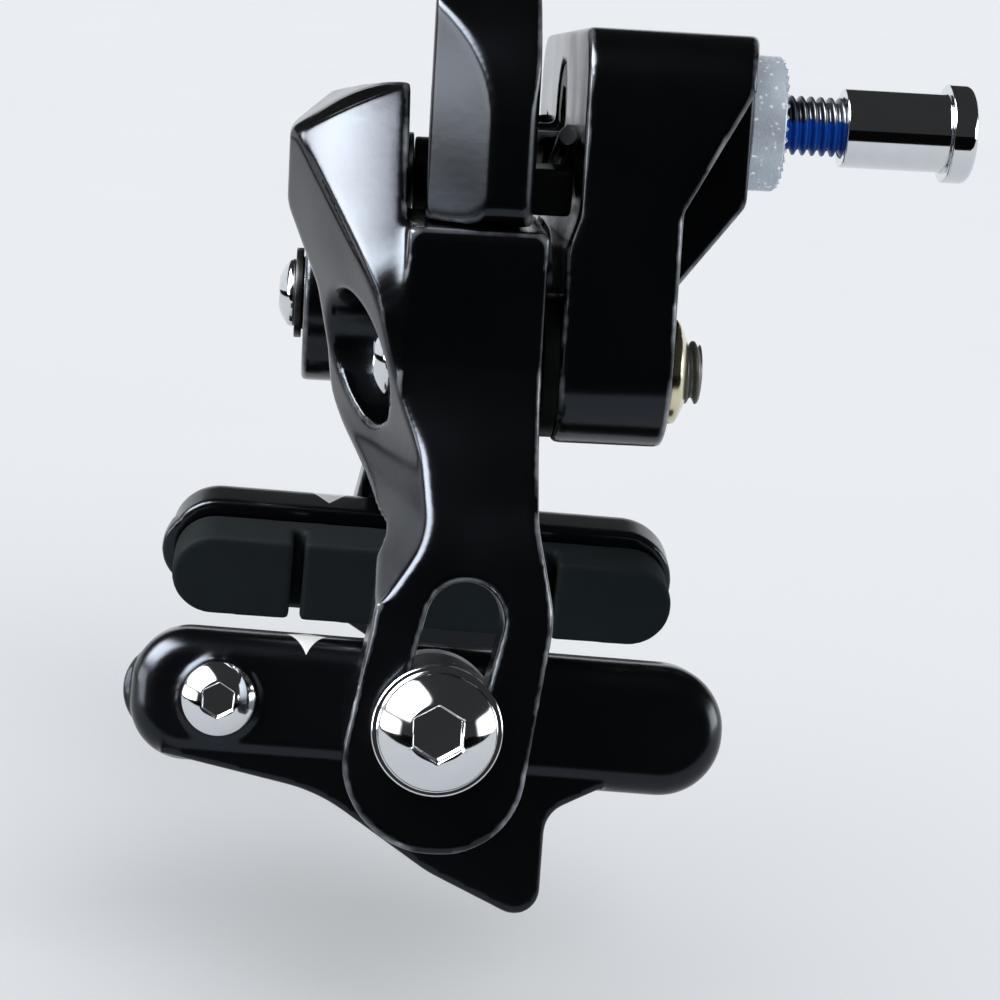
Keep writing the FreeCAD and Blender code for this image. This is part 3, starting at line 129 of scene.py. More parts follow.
def add_node(tree: Tree, kind: str, inputs: dict[str | int, Any] | None = None,
             **settings: Any) -> Node:
    """Add a node with its settings, values and links.

    Args:
        tree: The tree that takes the node.
        kind: The node's type.
        inputs: Input names or numbers, each with a value or with the socket that feeds it.
        settings: The node's own properties.

    Returns:
        The new node.
    """
    node = tree.nodes.new(kind)
    for name, value in settings.items():
        setattr(node, name, value)
    for key, value in (inputs or {}).items():
        if isinstance(value, Socket):
            tree.links.new(value, node.inputs[key])
        else:
            node.inputs[key].default_value = value
    return node


class Side(Enum):
    """The two sides of the brake, named as the frame names its nodes."""

    RIGHT = "right"
    LEFT = "left"

    def node(self, piece: str) -> str:
        """The frame's name for a piece on this side."""
        return f"{self.value}_{piece}"


@dataclass(frozen=True)
class Edge:
    """How far an edge is broken: its width, its steps and the least turn that counts as an edge."""

    width_mm: float
    steps: int = 2
    least_turn_deg: float = 28.0
    shading_weight: int = 60

    def soften(self, form: Form) -> None:
        """Break the form's edges."""
        bmesh.ops.dissolve_limit(form, angle_limit=math.radians(FLAT_DEG), verts=form.verts, edges=form.edges)
        least = math.radians(self.least_turn_deg)
        sharp = [e for e in form.edges if len(e.link_faces) == 2 and e.calc_face_angle(0.0) > least]
        bmesh.ops.bevel(form, geom=sharp, offset=self.width_mm * MM, offset_type="OFFSET", segments=self.steps,
                        profile=0.5, affect="EDGES", clamp_overlap=False, loop_slide=True)

    def finish(self, piece: bpy.types.Object) -> None:
        """Add what evens out the shading."""
        piece.modifiers.new("even_shading", "WEIGHTED_NORMAL").weight = self.shading_weight


@dataclass(frozen=True)
class Melt(Edge):
    """An edge broken and then melted all over into one even skin, as on a forged and enamelled piece."""

    grain_mm: float = 0.3
    passes: int = 6
    keep: float = 1.0
    pull: float = 0.5

    def finish(self, piece: bpy.types.Object) -> None:
        """Add the new skin, its smoothing and its thinning out on flat ground."""
        skin = piece.modifiers.new("skin", "REMESH")
        skin.mode = "VOXEL"
        skin.voxel_size = self.grain_mm * MM
        skin.use_smooth_shade = True
        smoothing = piece.modifiers.new("smoothing", "SMOOTH")
        smoothing.factor = self.pull
        smoothing.iterations = self.passes
        piece.modifiers.new("thinning", "DECIMATE").ratio = self.keep


# How each way of making a piece leaves its edges.
FORGED = Melt(0.45, 3, grain_mm=0.26, passes=16, keep=0.35)
FORGED_THIN = replace(FORGED, width_mm=0.3, steps=2)
MOULDED = Melt(0.4, 3, grain_mm=0.22, passes=12, keep=0.4)
TURNED = Edge(0.2)
STAMPED = Edge(0.12)


# Finishes

def noise_of(place: Socket, size_mm: float, detail: float = 3.0) -> dict[str, Any]:
    """The inputs of a noise with features of a real size.

    Args:
        place: Object coordinates, in metres.
        size_mm: The features' size.
        detail: How many finer layers it has.

    Returns:
        A value or a socket for each input.
    """
    return {"Vector": place, "Scale": 1 / (size_mm * MM), "Detail": detail, "Roughness": NOISE_ROUGHNESS}


@dataclass(frozen=True)
class Finish:
    """A surface whose colour and gloss drift a little over it, with a fine relief.

    The drift and the relief are noise of a real size in millimetres. The name is none of the record's slots, because
    the frame has a plain material under each slot's name.
    """

    name: str
    colour: str
    drift: str
    roughness: float
    drift_mm: float = 6.0
    gloss_drift: float = 0.05
    metallic: float = 0.0
    relief_mm: float = 0.5
    relief_depth_mm: float = 0.0
    wave_mm: float = 8.0
    wave_depth_mm: float = 0.0
    coat: float = 0.0
    coat_roughness: float = 0.06
    shine: float = 0.5
    shine_tint: str = "ffffff"

    def material(self) -> bpy.types.Material:
        """The finish as a material, made once."""
        made = bpy.data.materials.get(self.name)
        if made:
            return made
        made = bpy.data.materials.new(self.name)
        made.use_nodes = True
        tree = made.node_tree
        tree.nodes.clear()
        place = add_node(tree, "ShaderNodeTexCoord").outputs["Object"]
        shader = add_node(tree, "ShaderNodeBsdfPrincipled", {
            "Base Color": linear(self.colour), "Metallic": self.metallic, "Coat Weight": self.coat,
            "Coat Roughness": self.coat_roughness, "Specular IOR Level": self.shine,
            "Specular Tint": linear(self.shine_tint)})
        self.paint(tree, place, shader)
        add_node(tree, "ShaderNodeOutputMaterial", {"Surface": shader.outputs[0]})
        return made

    def paint(self, tree: Tree, place: Socket, shader: Node) -> None:
        """Feed the shader's colour, roughness and normal.

        Args:
            tree: The material's tree.
            place: Object coordinates, in metres.
            shader: The shader to feed.
        """
        drift = add_node(tree, "ShaderNodeTexNoise", noise_of(place, self.drift_mm)).outputs[0]
        self.lay_over(tree, shader, drift, linear(self.drift))
        gloss = add_node(tree, "ShaderNodeMapRange", {
            "Value": drift, "To Min": self.roughness - self.gloss_drift, "To Max": self.roughness + self.gloss_drift})
        tree.links.new(gloss.outputs[0], shader.inputs["Roughness"])
        if self.relief_depth_mm:
            bump = add_node(tree, "ShaderNodeBump", {
                "Height": self.relief(tree, place), "Strength": 1.0, "Distance": self.relief_depth_mm * MM})
            tree.links.new(bump.outputs[0], shader.inputs["Normal"])

    def relief(self, tree: Tree, place: Socket) -> Socket:
        """The fine relief, in parts of its depth, with the slow waves of a forging added."""
        fine = add_node(tree, "ShaderNodeTexNoise", noise_of(place, self.relief_mm)).outputs[0]
        if not self.wave_depth_mm:
            return fine
        waves = add_node(tree, "ShaderNodeTexNoise", noise_of(place, self.wave_mm, detail=0.0)).outputs[0]
        return add_node(tree, "ShaderNodeMath", {
            0: waves, 1: self.wave_depth_mm / self.relief_depth_mm, 2: fine}, operation="MULTIPLY_ADD").outputs[0]

    def lay_over(self, tree: Tree, shader: Node, share: Socket,
                 colour: tuple[float, ...] | Socket) -> None:
        """Lay a colour over the one that the shader has.

        Args:
            tree: The material's tree.
            shader: The shader.
            share: How much of the colour shows, from 0 to 1.
            colour: A linear colour, or the socket that gives it.
        """
        base = shader.inputs["Base Color"]
        own = base.links[0].from_socket if base.links else tuple(base.default_value)
        mixed = add_node(tree, "ShaderNodeMix", {0: share, 6: own, 7: colour}, data_type="RGBA")
        tree.links.new(mixed.outputs[2], base)


@dataclass(frozen=True)
class EnamelWithEdgeHighlights(Finish):
    """Black enamel with a bright metal colour laid along its sharpest edges in broken hairlines, as a painted edge
    highlight; being metallic there, it also reflects.
    """

    # The bright metal colour of the painted edge highlight.
    alloy: str = "ccd2da"
    highlight_starts_mm: float = 1.1
    highlight_full_mm: float = 0.6
    highlight_strength: float = 0.4
    highlight_break_mm: float = 5.0
    highlight_break_from: float = 0.4
    highlight_break_to: float = 0.62

    def paint(self, tree: Tree, place: Socket, shader: Node) -> None:
        """Feed the shader as plain enamel does, then lay the bright metal where the surface bends sharply, as a
        painted edge highlight.
        """
        super().paint(tree, place, shader)
        # A point's mean bend over all directions is half of the bend across an edge.
        bend = add_node(tree, "ShaderNodeAttribute", attribute_name=BEND).outputs["Fac"]
        sharp = add_node(tree, "ShaderNodeMapRange", {
            "Value": bend, "From Min": 0.5 / self.highlight_starts_mm, "From Max": 0.5 / self.highlight_full_mm}).outputs[0]
        luck = add_node(tree, "ShaderNodeTexNoise", noise_of(place, self.highlight_break_mm)).outputs[0]
        highlight_share = add_node(tree, "ShaderNodeMapRange", {
            "Value": luck, "From Min": self.highlight_break_from, "From Max": self.highlight_break_to, "To Max": self.highlight_strength}).outputs[0]
        bare = add_node(tree, "ShaderNodeMath", {0: sharp, 1: highlight_share}, operation="MULTIPLY").outputs[0]
        # Painted edge highlight: the bright metal colour, laid where the edge is sharp and the noise lets it through.
        self.lay_over(tree, shader, bare, linear(self.alloy))
        tree.links.new(bare, shader.inputs["Metallic"])


@dataclass(frozen=True)
class MarkedEnamel(Finish):
    """Enamel with a plain white diamond on top of each shoe holder."""

    mark: str = "ffffff"
    centre_x_mm: float = 24.8
    centre_y_mm: float = -43.2
    half_width_mm: float = 2.7
    half_length_mm: float = 1.9
    lowest_z_mm: float = -52.0

    def paint(self, tree: Tree, place: Socket, shader: Node) -> None:
        """Feed the shader as plain enamel does, then lay the mark over its colour."""
        super().paint(tree, place, shader)
        middle = (self.centre_x_mm * MM, -self.centre_y_mm * MM, 0.0)
        spans = (1 / (self.half_width_mm * MM), 1 / (self.half_length_mm * MM), 0.0)
        away = place
        for operation, other in (("ABSOLUTE", Vector()), ("SUBTRACT", middle), ("ABSOLUTE", Vector())):
            away = add_node(tree, "ShaderNodeVectorMath", {0: away, 1: other}, operation=operation).outputs[0]
        reach = add_node(tree, "ShaderNodeVectorMath", {0: away, 1: spans}, operation="DOT_PRODUCT").outputs["Value"]
        inside = add_node(tree, "ShaderNodeMath", {0: reach, 1: 1.0}, operation="LESS_THAN").outputs[0]
        height = add_node(tree, "ShaderNodeSeparateXYZ", {0: place}).outputs[2]
        on_top = add_node(tree, "ShaderNodeMath", {
            0: height, 1: self.lowest_z_mm * MM}, operation="GREATER_THAN").outputs[0]
        share = add_node(tree, "ShaderNodeMath", {0: inside, 1: on_top}, operation="MULTIPLY").outputs[0]
        self.lay_over(tree, shader, share, linear(self.mark))


@dataclass(frozen=True)
class LockedThread(Finish):
    """Dark rolled thread with a patch of blue locking compound on its lower side."""

    patch: str = "033f9c"
    patch_dark: str = "02265e"
    patch_top_mm: float = 0.7
    patch_edge_mm: float = 0.9

    def paint(self, tree: Tree, place: Socket, shader: Node) -> None:
        """Feed the shader as bare steel does, then lay the patch over its lower side."""
        super().paint(tree, place, shader)
        height = add_node(tree, "ShaderNodeSeparateXYZ", {0: place}).outputs[2]
        ragged = add_node(tree, "ShaderNodeTexNoise", noise_of(place, self.patch_edge_mm)).outputs[0]
        limit = add_node(tree, "ShaderNodeMapRange", {
            "Value": ragged, "To Min": (self.patch_top_mm - self.patch_edge_mm) * MM,
            "To Max": (self.patch_top_mm + self.patch_edge_mm) * MM}).outputs[0]
        under = add_node(tree, "ShaderNodeMath", {0: height, 1: limit}, operation="LESS_THAN").outputs[0]
        compound = add_node(tree, "ShaderNodeMix", {
            0: ragged, 6: linear(self.patch), 7: linear(self.patch_dark)}, data_type="RGBA").outputs[2]
        self.lay_over(tree, shader, under, compound)
        bare = add_node(tree, "ShaderNodeMapRange", {"Value": under, "To Min": self.metallic, "To Max": 0.0})
        tree.links.new(bare.outputs[0], shader.inputs["Metallic"])


@dataclass(frozen=True)
class CastZinc(Finish):
    """Dull cast zinc with painted glints: a bright colour laid over a few random grains."""

    grain_mm: float = 0.28
    # The colour of the painted glints.
    bright: str = "f4f6f8"
    glint_from: float = 0.93
    glint_full: float = 0.98

    def paint(self, tree: Tree, place: Socket, shader: Node) -> None:
        """Feed the shader as plain metal does, then lay the painted glints, a bright colour on a few grains, over its
        colour.
        """
        super().paint(tree, place, shader)
        grains = add_node(tree, "ShaderNodeTexVoronoi", {"Vector": place, "Scale": 1 / (self.grain_mm * MM)})
        tint = add_node(tree, "ShaderNodeSeparateColor", {0: grains.outputs["Color"]}).outputs[0]
        glint = add_node(tree, "ShaderNodeMapRange", {
            "Value": tint, "From Min": self.glint_from, "From Max": self.glint_full}).outputs[0]
        # Painted glints on the grains whose random tint is highest.
        self.lay_over(tree, shader, glint, linear(self.bright))

    def relief(self, tree: Tree, place: Socket) -> Socket:
        """The hollows of the same grains."""
        grains = add_node(tree, "ShaderNodeTexVoronoi", {"Vector": place, "Scale": 1 / (self.grain_mm * MM)})
        return grains.outputs["Distance"]


# Gloss enamel on forged aluminium: near black and cool, with a faint orange peel under the gloss, and painted edge
# highlights of bright metal along its sharpest edges.
ENAMEL = EnamelWithEdgeHighlights("gloss_enamel_on_forged_aluminium", "020203", "040506", 0.2, drift_mm=9.0, gloss_drift=0.05,
                    relief_mm=0.9, relief_depth_mm=0.008, wave_mm=9.0, wave_depth_mm=0.3, coat=0.15,
                    coat_roughness=0.12, shine=0.32, shine_tint="cddcf0")
# The same enamel on the smooth shoe holders, where it covers every edge and carries a white mark.
RIGHT_HOLDER = MarkedEnamel("gloss_enamel_on_right_holder", "020203", "040506", 0.24, drift_mm=9.0, gloss_drift=0.04,
                            relief_mm=1.1, relief_depth_mm=0.006, coat=0.15, coat_roughness=0.1, shine=0.3,
                            shine_tint="cddcf0", centre_y_mm=-45.1)
LEFT_HOLDER = replace(RIGHT_HOLDER, name="gloss_enamel_on_left_holder", centre_y_mm=-43.2)
# Polished chrome plate: a bright mirror with hair-fine polishing marks.
CHROME = Finish("polished_chrome_plate", "d9dcde", "c9cdd1", 0.07, drift_mm=3.0, gloss_drift=0.03, metallic=1.0,
                relief_mm=0.4, relief_depth_mm=0.0006)
# Cast zinc: dull and pale, with painted glints on its grains.
ZINC = CastZinc("cast_zinc", "bdc7d2", "a3adb8", 0.42, drift_mm=1.2, gloss_drift=0.12, metallic=0.4,
                relief_depth_mm=0.03)
# Turned steel with dull zinc plate, as on plain washers: pale grey and half dull.
PLATED = Finish("dull_zinc_plate", "b4b7b9", "9b9fa3", 0.3, drift_mm=1.5, gloss_drift=0.08, metallic=1.0,
                relief_mm=0.3, relief_depth_mm=0.003)
# Zinc plate with a yellow passivation: pale straw on a bright ground.
STRAW = Finish("yellow_passivated_zinc", "dcd8bd", "c9c29c", 0.2, drift_mm=2.0, gloss_drift=0.06, metallic=1.0,
               relief_mm=0.4, relief_depth_mm=0.002)
# Blackened steel: oiled and dark, with greyer patches.
BLACK_STEEL = Finish("blackened_steel", "242526", "38383a", 0.34, drift_mm=1.0, gloss_drift=0.1, metallic=1.0,
                     relief_mm=0.3, relief_depth_mm=0.004)
# Rolled thread under a film of oil: dark grey and duller than the turned steel.
OILED_THREAD = Finish("oiled_rolled_thread", "62635e", "4c4d49", 0.4, drift_mm=1.0, gloss_drift=0.1, metallic=0.6,
                      relief_mm=0.3, relief_depth_mm=0.004)
# Rolled thread with a dried blue compound that keeps it from turning: grey above, deep blue below.
THREAD = LockedThread("rolled_thread_with_lock_patch", "54585d", "74797e", 0.3, drift_mm=0.8, gloss_drift=0.1,
                      metallic=1.0, relief_mm=0.3, relief_depth_mm=0.01, shine=0.15)
# Drawn spring wire: mid grey with a soft shine.
WIRE = Finish("drawn_spring_wire", "8d9195", "73777b", 0.22, drift_mm=1.5, gloss_drift=0.06, metallic=1.0,
              relief_mm=0.25, relief_depth_mm=0.002)
# Black anodised alloy: satin, with a trace of the tool marks under it.
ANODISED = Finish("black_anodised_alloy", "17181a", "222427", 0.38, drift_mm=2.0, gloss_drift=0.07, metallic=0.9,
                  relief_mm=0.25, relief_depth_mm=0.004)
# Brake rubber: matte charcoal, faintly bluish, with the mould's fine grain.
RUBBER = Finish("moulded_brake_rubber", "091114", "0f181b", 0.78, drift_mm=4.0, gloss_drift=0.08,
                relief_mm=0.35, relief_depth_mm=0.02, shine=0.08)
# Moulded ring rubber: plain black and dull.
SEAL = Finish("seal_ring_rubber", "141414", "1e1e1e", 0.7, drift_mm=2.0, gloss_drift=0.08,
              relief_mm=0.3, relief_depth_mm=0.012)
# Black nylon, for the slip washers, the slider and the roller: dark with a dull shine.
BLACK_NYLON = Finish("moulded_black_nylon", "040505", "090a0a", 0.34, drift_mm=3.0, gloss_drift=0.06,
                     relief_mm=0.4, relief_depth_mm=0.008, shine=0.03)


# Making pieces

def plain_object(name: str, mesh: bpy.types.Mesh) -> bpy.types.Object:
    """Put a mesh in the scene as an object at the origin."""
    made = bpy.data.objects.new(name, mesh)
    bpy.context.scene.collection.objects.link(made)
    return made


def settled(source: bpy.types.Object, name: str) -> bpy.types.Object:
    """Turn an object with live modifiers into a plain mesh of its own.

    Args:
        source: The object, which is removed.
        name: The new object's name.

    Returns:
        A plain object at the origin.
    """
    graph = bpy.context.evaluated_depsgraph_get()
    mesh = bpy.data.meshes.new_from_object(source.evaluated_get(graph), depsgraph=graph)
    old = source.data
    bpy.data.objects.remove(source)
    bpy.data.meshes.remove(old)
    mesh.name = name
    return plain_object(name, mesh)


def softened(node: str, edge: Edge, shape: Change | None = None) -> bpy.types.Object:
    """Copy a CAD node with its edges broken.

    Args:
        node: The node to copy.
        edge: How far its edges are broken.
        shape: A last change to the copy before its edges are broken, such as a cut.

    Returns:
        The copy, smooth-shaded, as a plain object.
    """
    form = bmesh.new()
    form.from_mesh(frame["nodes"][node].data)
    bmesh.ops.remove_doubles(form, verts=form.verts, dist=WELD_MM * MM)
    if shape:
        shape(form)
    edge.soften(form)
    mesh = bpy.data.meshes.new(node)
    form.to_mesh(mesh)
    form.free()
    mesh.polygons.foreach_set("use_smooth", [True] * len(mesh.polygons))
    copy = plain_object(f"{node}_rough", mesh)
    edge.finish(copy)
    piece = settled(copy, f"{node}_piece")
    measure_bend(piece)
    return piece


def measure_bend(piece: bpy.types.Object, passes: int = 5) -> None:
    """Keep on each point how sharply the surface bends outward there, in turns per millimetre, evened out.

    Args:
        piece: The piece, as a plain object.
        passes: How often each value is evened out with its neighbours'.
    """
    mesh = piece.data
    count = len(mesh.vertices)
    places, normals = np.empty(3 * count), np.empty(3 * count)
    mesh.vertices.foreach_get("co", places)
    mesh.vertices.foreach_get("normal", normals)
    places, normals = places.reshape(-1, 3), normals.reshape(-1, 3)
    pairs = np.empty(2 * len(mesh.edges), dtype=np.int32)
    mesh.edges.foreach_get("vertices", pairs)
    first, second = pairs.reshape(-1, 2).T
    steps, turns = places[second] - places[first], normals[second] - normals[first]
    along = (steps * turns).sum(axis=1) / np.maximum((steps * steps).sum(axis=1), LEAST_SQUARE) * MM
    ends = np.concatenate([first, second])
    shared = np.maximum(np.bincount(ends, minlength=count), 1)
    bend = np.bincount(ends, np.concatenate([along, along]), count) / shared
    for _ in range(passes):
        others = np.bincount(first, bend[second], count) + np.bincount(second, bend[first], count)
        bend = (bend + others / shared) / 2
    mesh.attributes.new(BEND, "FLOAT", "POINT").data.foreach_set("value", bend.astype(np.float32))


def cut_off_behind(y: float) -> Change:
    """A change that takes off everything behind a plane across Y and closes the end.

    Args:
        y: The plane's place, in metres.

    Returns:
        The change, for softened().
    """
    def shape(form: Form) -> None:
        """Cut one form and fill its open end."""
        geometry = form.verts[:] + form.edges[:] + form.faces[:]
        cut = bmesh.ops.bisect_plane(form, geom=geometry, plane_co=(0, y, 0), plane_no=(0, 1, 0), clear_outer=True)
        rim = [e for e in cut["geom_cut"] if isinstance(e, bmesh.types.BMEdge)]
        bmesh.ops.contextual_create(form, geom=rim)
    return shape


def dress(piece: bpy.types.Object, finish: Finish, body: str, slot: str, *stands_for: str) -> bpy.types.Object:
    """Give a piece its finish and its place in the frame.

    Args:
        piece: The piece, in place.
        finish: Its finish.
        body: The body that it rides on.
        slot: The record's material slot; not used.
        stands_for: The CAD nodes that it replaces.

    Returns:
        The piece.
    """
    piece.data.materials.clear()
    piece.data.materials.append(finish.material())
    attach(piece, body)
    if stands_for:
        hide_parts(*stands_for)
    log.info("%s on %s in %s", piece.name, body, finish.name)
    return piece


SLOTS = {part["node"]: part["material_slot"] for part in frame["record"]["subparts"]}


def dress_node(node: str, edge: Edge, finish: Finish, shape: Change | None = None) -> bpy.types.Object:
    """Soften a CAD node and dress the copy in its stead.

    Args:
        node: The node.
        edge: How far its edges are broken.
        finish: The copy's finish.
        shape: A last change to the copy before its edges are broken.

    Returns:
        The copy, dressed.
    """
    body = frame["nodes"][node]["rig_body"]
    return dress(softened(node, edge, shape), finish, body, SLOTS[node], node)


# Trees for what repeats or follows a rule

def new_tree(name: str, inputs: dict[str, str]) -> tuple[Tree, Node]:
    """Start a geometry tree with named inputs.

    Args:
        name: The tree's name.
        inputs: Input names, each with its socket type.

    Returns:
        The tree and its input node.
    """
    tree = bpy.data.node_groups.new(name, "GeometryNodeTree")
    for label, kind in inputs.items():
        tree.interface.new_socket(label, in_out="INPUT", socket_type=kind)
    tree.interface.new_socket("Geometry", in_out="OUTPUT", socket_type="NodeSocketGeometry")
    return tree, add_node(tree, "NodeGroupInput")


def end_tree(tree: Tree, geometry: Socket, source: Node) -> None:
    """Turn a tree's result to face the rear, place it and make it real.

    Args:
        tree: The tree.
        geometry: Its result, standing along Z at the origin.
        source: The tree's input node.
    """
    turned = add_node(tree, "GeometryNodeTransform", {
        "Geometry": geometry, "Translation": source.outputs["Place"], "Rotation": (-math.pi / 2, 0, 0)})
    real = add_node(tree, "GeometryNodeRealizeInstances", {0: turned.outputs[0]})
    add_node(tree, "NodeGroupOutput", {0: real.outputs[0]})


def grown(tree: Tree, name: str, values: dict[str, Any]) -> bpy.types.Object:
    """Run a geometry tree and keep its result as a plain mesh.

    Args:
        tree: The tree.
        name: The piece's name.
        values: A value for each named input.

    Returns:
        The piece, as a plain object.
    """
    seed = plain_object(f"{name}_seed", bpy.data.meshes.new(name))
    run = seed.modifiers.new("grow", "NODES")
    run.node_group = tree
    for socket in tree.interface.items_tree:
        if socket.item_type == "SOCKET" and socket.in_out == "INPUT":
            run[socket.identifier] = values[socket.name]
    return settled(seed, name)


def thread_tree() -> Tree:
    """A rolled thread: a round bar whose radius falls and rises along a helix."""
    tree, source = new_tree("rolled_thread", {
        "Radius": "NodeSocketFloat", "Depth": "NodeSocketFloat", "Pitch": "NodeSocketFloat",
        "Length": "NodeSocketFloat", "Rings": "NodeSocketInt", "Place": "NodeSocketVector"})
    size = source.outputs
    bar = add_node(tree, "GeometryNodeMeshCylinder", {
        "Vertices": THREAD_CORNERS, "Side Segments": size["Rings"], "Radius": size["Radius"],
        "Depth": size["Length"]})
    place = add_node(tree, "GeometryNodeInputPosition").outputs[0]
    x, y, z = add_node(tree, "ShaderNodeSeparateXYZ", {0: place}).outputs
    angle = add_node(tree, "ShaderNodeMath", {0: y, 1: x}, operation="ARCTAN2").outputs[0]
    turn = add_node(tree, "ShaderNodeMath", {0: angle, 1: 2 * math.pi}, operation="DIVIDE").outputs[0]
    valley = z
    for operation, other in (("DIVIDE", size["Pitch"]), ("ADD", TURNS_AHEAD), ("SUBTRACT", turn), ("FRACT", 0.0),
                             ("MULTIPLY", 2.0), ("SUBTRACT", 1.0), ("ABSOLUTE", 0.0)):
        valley = add_node(tree, "ShaderNodeMath", {0: valley, 1: other}, operation=operation).outputs[0]
    fall = add_node(tree, "ShaderNodeMapRange", {
        "Value": valley, "From Min": THREAD_FLAT, "From Max": 1 - THREAD_FLAT},
        interpolation_type="SMOOTHSTEP").outputs[0]
    for operation, other in (("MULTIPLY", size["Depth"]), ("DIVIDE", size["Radius"]), ("MULTIPLY", -1.0)):
        fall = add_node(tree, "ShaderNodeMath", {0: fall, 1: other}, operation=operation).outputs[0]
    level = add_node(tree, "ShaderNodeCombineXYZ", {0: x, 1: y}).outputs[0]
    inward = add_node(tree, "ShaderNodeVectorMath", {0: level, "Scale": fall}, operation="SCALE").outputs[0]
    shaped = add_node(tree, "GeometryNodeSetPosition", {"Geometry": bar.outputs["Mesh"], "Offset": inward})
    end_tree(tree, shaped.outputs[0], source)
    return tree


def serration_tree() -> Tree:
    """Radial teeth on a washer's face: ridges set round a circle, each along its own radius."""
    tree, source = new_tree("radial_serrations", {
        "Count": "NodeSocketInt", "Middle Radius": "NodeSocketFloat", "Tooth": "NodeSocketVector",
        "Place": "NodeSocketVector"})
    ring = add_node(tree, "GeometryNodeMeshCircle", {
        "Vertices": source.outputs["Count"], "Radius": source.outputs["Middle Radius"]})
    tooth = add_node(tree, "GeometryNodeMeshCube", {"Size": source.outputs["Tooth"]})
    ridge = add_node(tree, "GeometryNodeTransform", {"Geometry": tooth.outputs[0], "Rotation": (math.pi / 4, 0, 0)})
    place = add_node(tree, "GeometryNodeInputPosition").outputs[0]
    aim = add_node(tree, "FunctionNodeAlignRotationToVector", {"Vector": place}, axis="X", pivot_axis="Z")
    teeth = add_node(tree, "GeometryNodeInstanceOnPoints", {
        "Points": ring.outputs[0], "Instance": ridge.outputs[0], "Rotation": aim.outputs[0]})
    end_tree(tree, teeth.outputs[0], source)
    return tree


@dataclass
class Thread:
    """A thread on the end of a bolt: metric coarse sizes, along +Y."""

    radius_mm: float = 3.0
    pitch_mm: float = 1.0
    depth_mm: float = 0.58
    rings_per_turn: int = 10

    def build(self, tree: Tree, name: str, axis: Vector, start: float, end: float) -> bpy.types.Object:
        """Make the thread between two stations.

        Args:
            tree: The thread's tree.
            name: The piece's name.
            axis: A point on the bolt's axis.
            start: Where the thread starts along Y, in metres.
            end: Where it ends.

        Returns:
            The thread, as a plain object.
        """
        length, pitch = end - start, self.pitch_mm * MM
        thread = grown(tree, name, {
            "Radius": self.radius_mm * MM, "Depth": self.depth_mm * MM, "Pitch": pitch, "Length": length,
            "Rings": round(length / pitch * self.rings_per_turn), "Place": (axis.x, (start + end) / 2, axis.z)})
        thread.data.polygons.foreach_set("use_smooth", [True] * len(thread.data.polygons))
        return thread


# Sub-assemblies

@dataclass
class Mounting:
    """The bridge with the bolt, washer and nut that fix it to the frame."""

    thread: Thread = field(default_factory=Thread)
    overlap_mm: float = 0.4
    teeth: int = 36
    tooth_mm: float = 0.42
    washer_bore_mm: float = 3.1

    def build(self, threads: Tree) -> None:
        """Make and dress the pieces."""
        dress_node("bridge", FORGED, ENAMEL)
        dress_node("sleeve_nut", TURNED, CHROME)
        self.build_bolt(threads)
        self.build_washer()

    def build_bolt(self, threads: Tree) -> None:
        """Make the bolt with its thread where it stands out of the washer."""
        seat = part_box("serrated_washer")[1].y - self.overlap_mm * MM
        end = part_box("centre_bolt")[1].y
        dress_node("centre_bolt", TURNED, BLACK_STEEL, cut_off_behind(seat))
        thread = self.thread.build(threads, "centre_bolt_thread", Vector(), seat, end)
        dress(thread, THREAD, "bridge", SLOTS["centre_bolt"])

    def build_washer(self) -> None:
        """Make the washer and the teeth on its rear face."""
        dress_node("serrated_washer", TURNED, ZINC)
        rear_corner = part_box("serrated_washer")[1]
        outer, bore, edge = rear_corner.x, self.washer_bore_mm * MM, TURNED.width_mm * MM
        teeth = grown(serration_tree(), "serrated_washer_teeth", {
            "Count": self.teeth, "Middle Radius": (outer + bore) / 2,
            "Tooth": (outer - bore - 2 * edge, self.tooth_mm * MM, self.tooth_mm * MM),
            "Place": (0, rear_corner.y, 0)})
        dress(teeth, ZINC, "bridge", SLOTS["serrated_washer"])


@dataclass
class Pivot:
    """One arm's pivot: bolt, sleeve, washers and lock nut."""

    side: Side
    thread: Thread = field(default_factory=Thread)
    overlap_mm: float = 0.5

    def build(self, threads: Tree) -> None:
        """Make and dress the pieces."""
        bolt, nut = self.side.node("pivot_bolt"), self.side.node("pivot_nut")
        low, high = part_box(bolt)
        axis = (low + high) / 2
        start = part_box(nut)[1].y - self.overlap_mm * MM
        dress_node(bolt, TURNED, CHROME, cut_off_behind(start))
        thread = self.thread.build(threads, f"{bolt}_thread", axis, start, high.y)
        dress(thread, OILED_THREAD, "bridge", SLOTS[bolt])
        dress_node(nut, TURNED, STRAW)
        dress_node(self.side.node("pivot_sleeve"), STAMPED, BLACK_STEEL)
        dress_node(self.side.node("thrust_washer"), STAMPED, BLACK_NYLON)
        dress_node(self.side.node("head_washer"), STAMPED, BLACK_STEEL)


@dataclass(frozen=True)
class Swell:
    """A gentle swell over a flat forged face, highest along a line at one y."""

    facing: tuple[float, float, float]
    middle_y_mm: float
    half_mm: float
    rise_mm: float
    match_from: float = 0.88
    match_to: float = 0.995

    def shape(self, piece: bpy.types.Object) -> None:
        """Raise the face's points along its normal, least at its borders."""
        outward = Vector(self.facing).normalized()
        matches = [point.normal.dot(outward) for point in piece.data.vertices]
        for point, match in zip(piece.data.vertices, matches):
            across = (point.co.y / MM - self.middle_y_mm) / self.half_mm
            share = min(max((match - self.match_from) / (self.match_to - self.match_from), 0.0), 1.0)
            if abs(across) < 1:
                point.co += outward * (self.rise_mm * MM * share * (1 - across * across))
        piece.data.update()


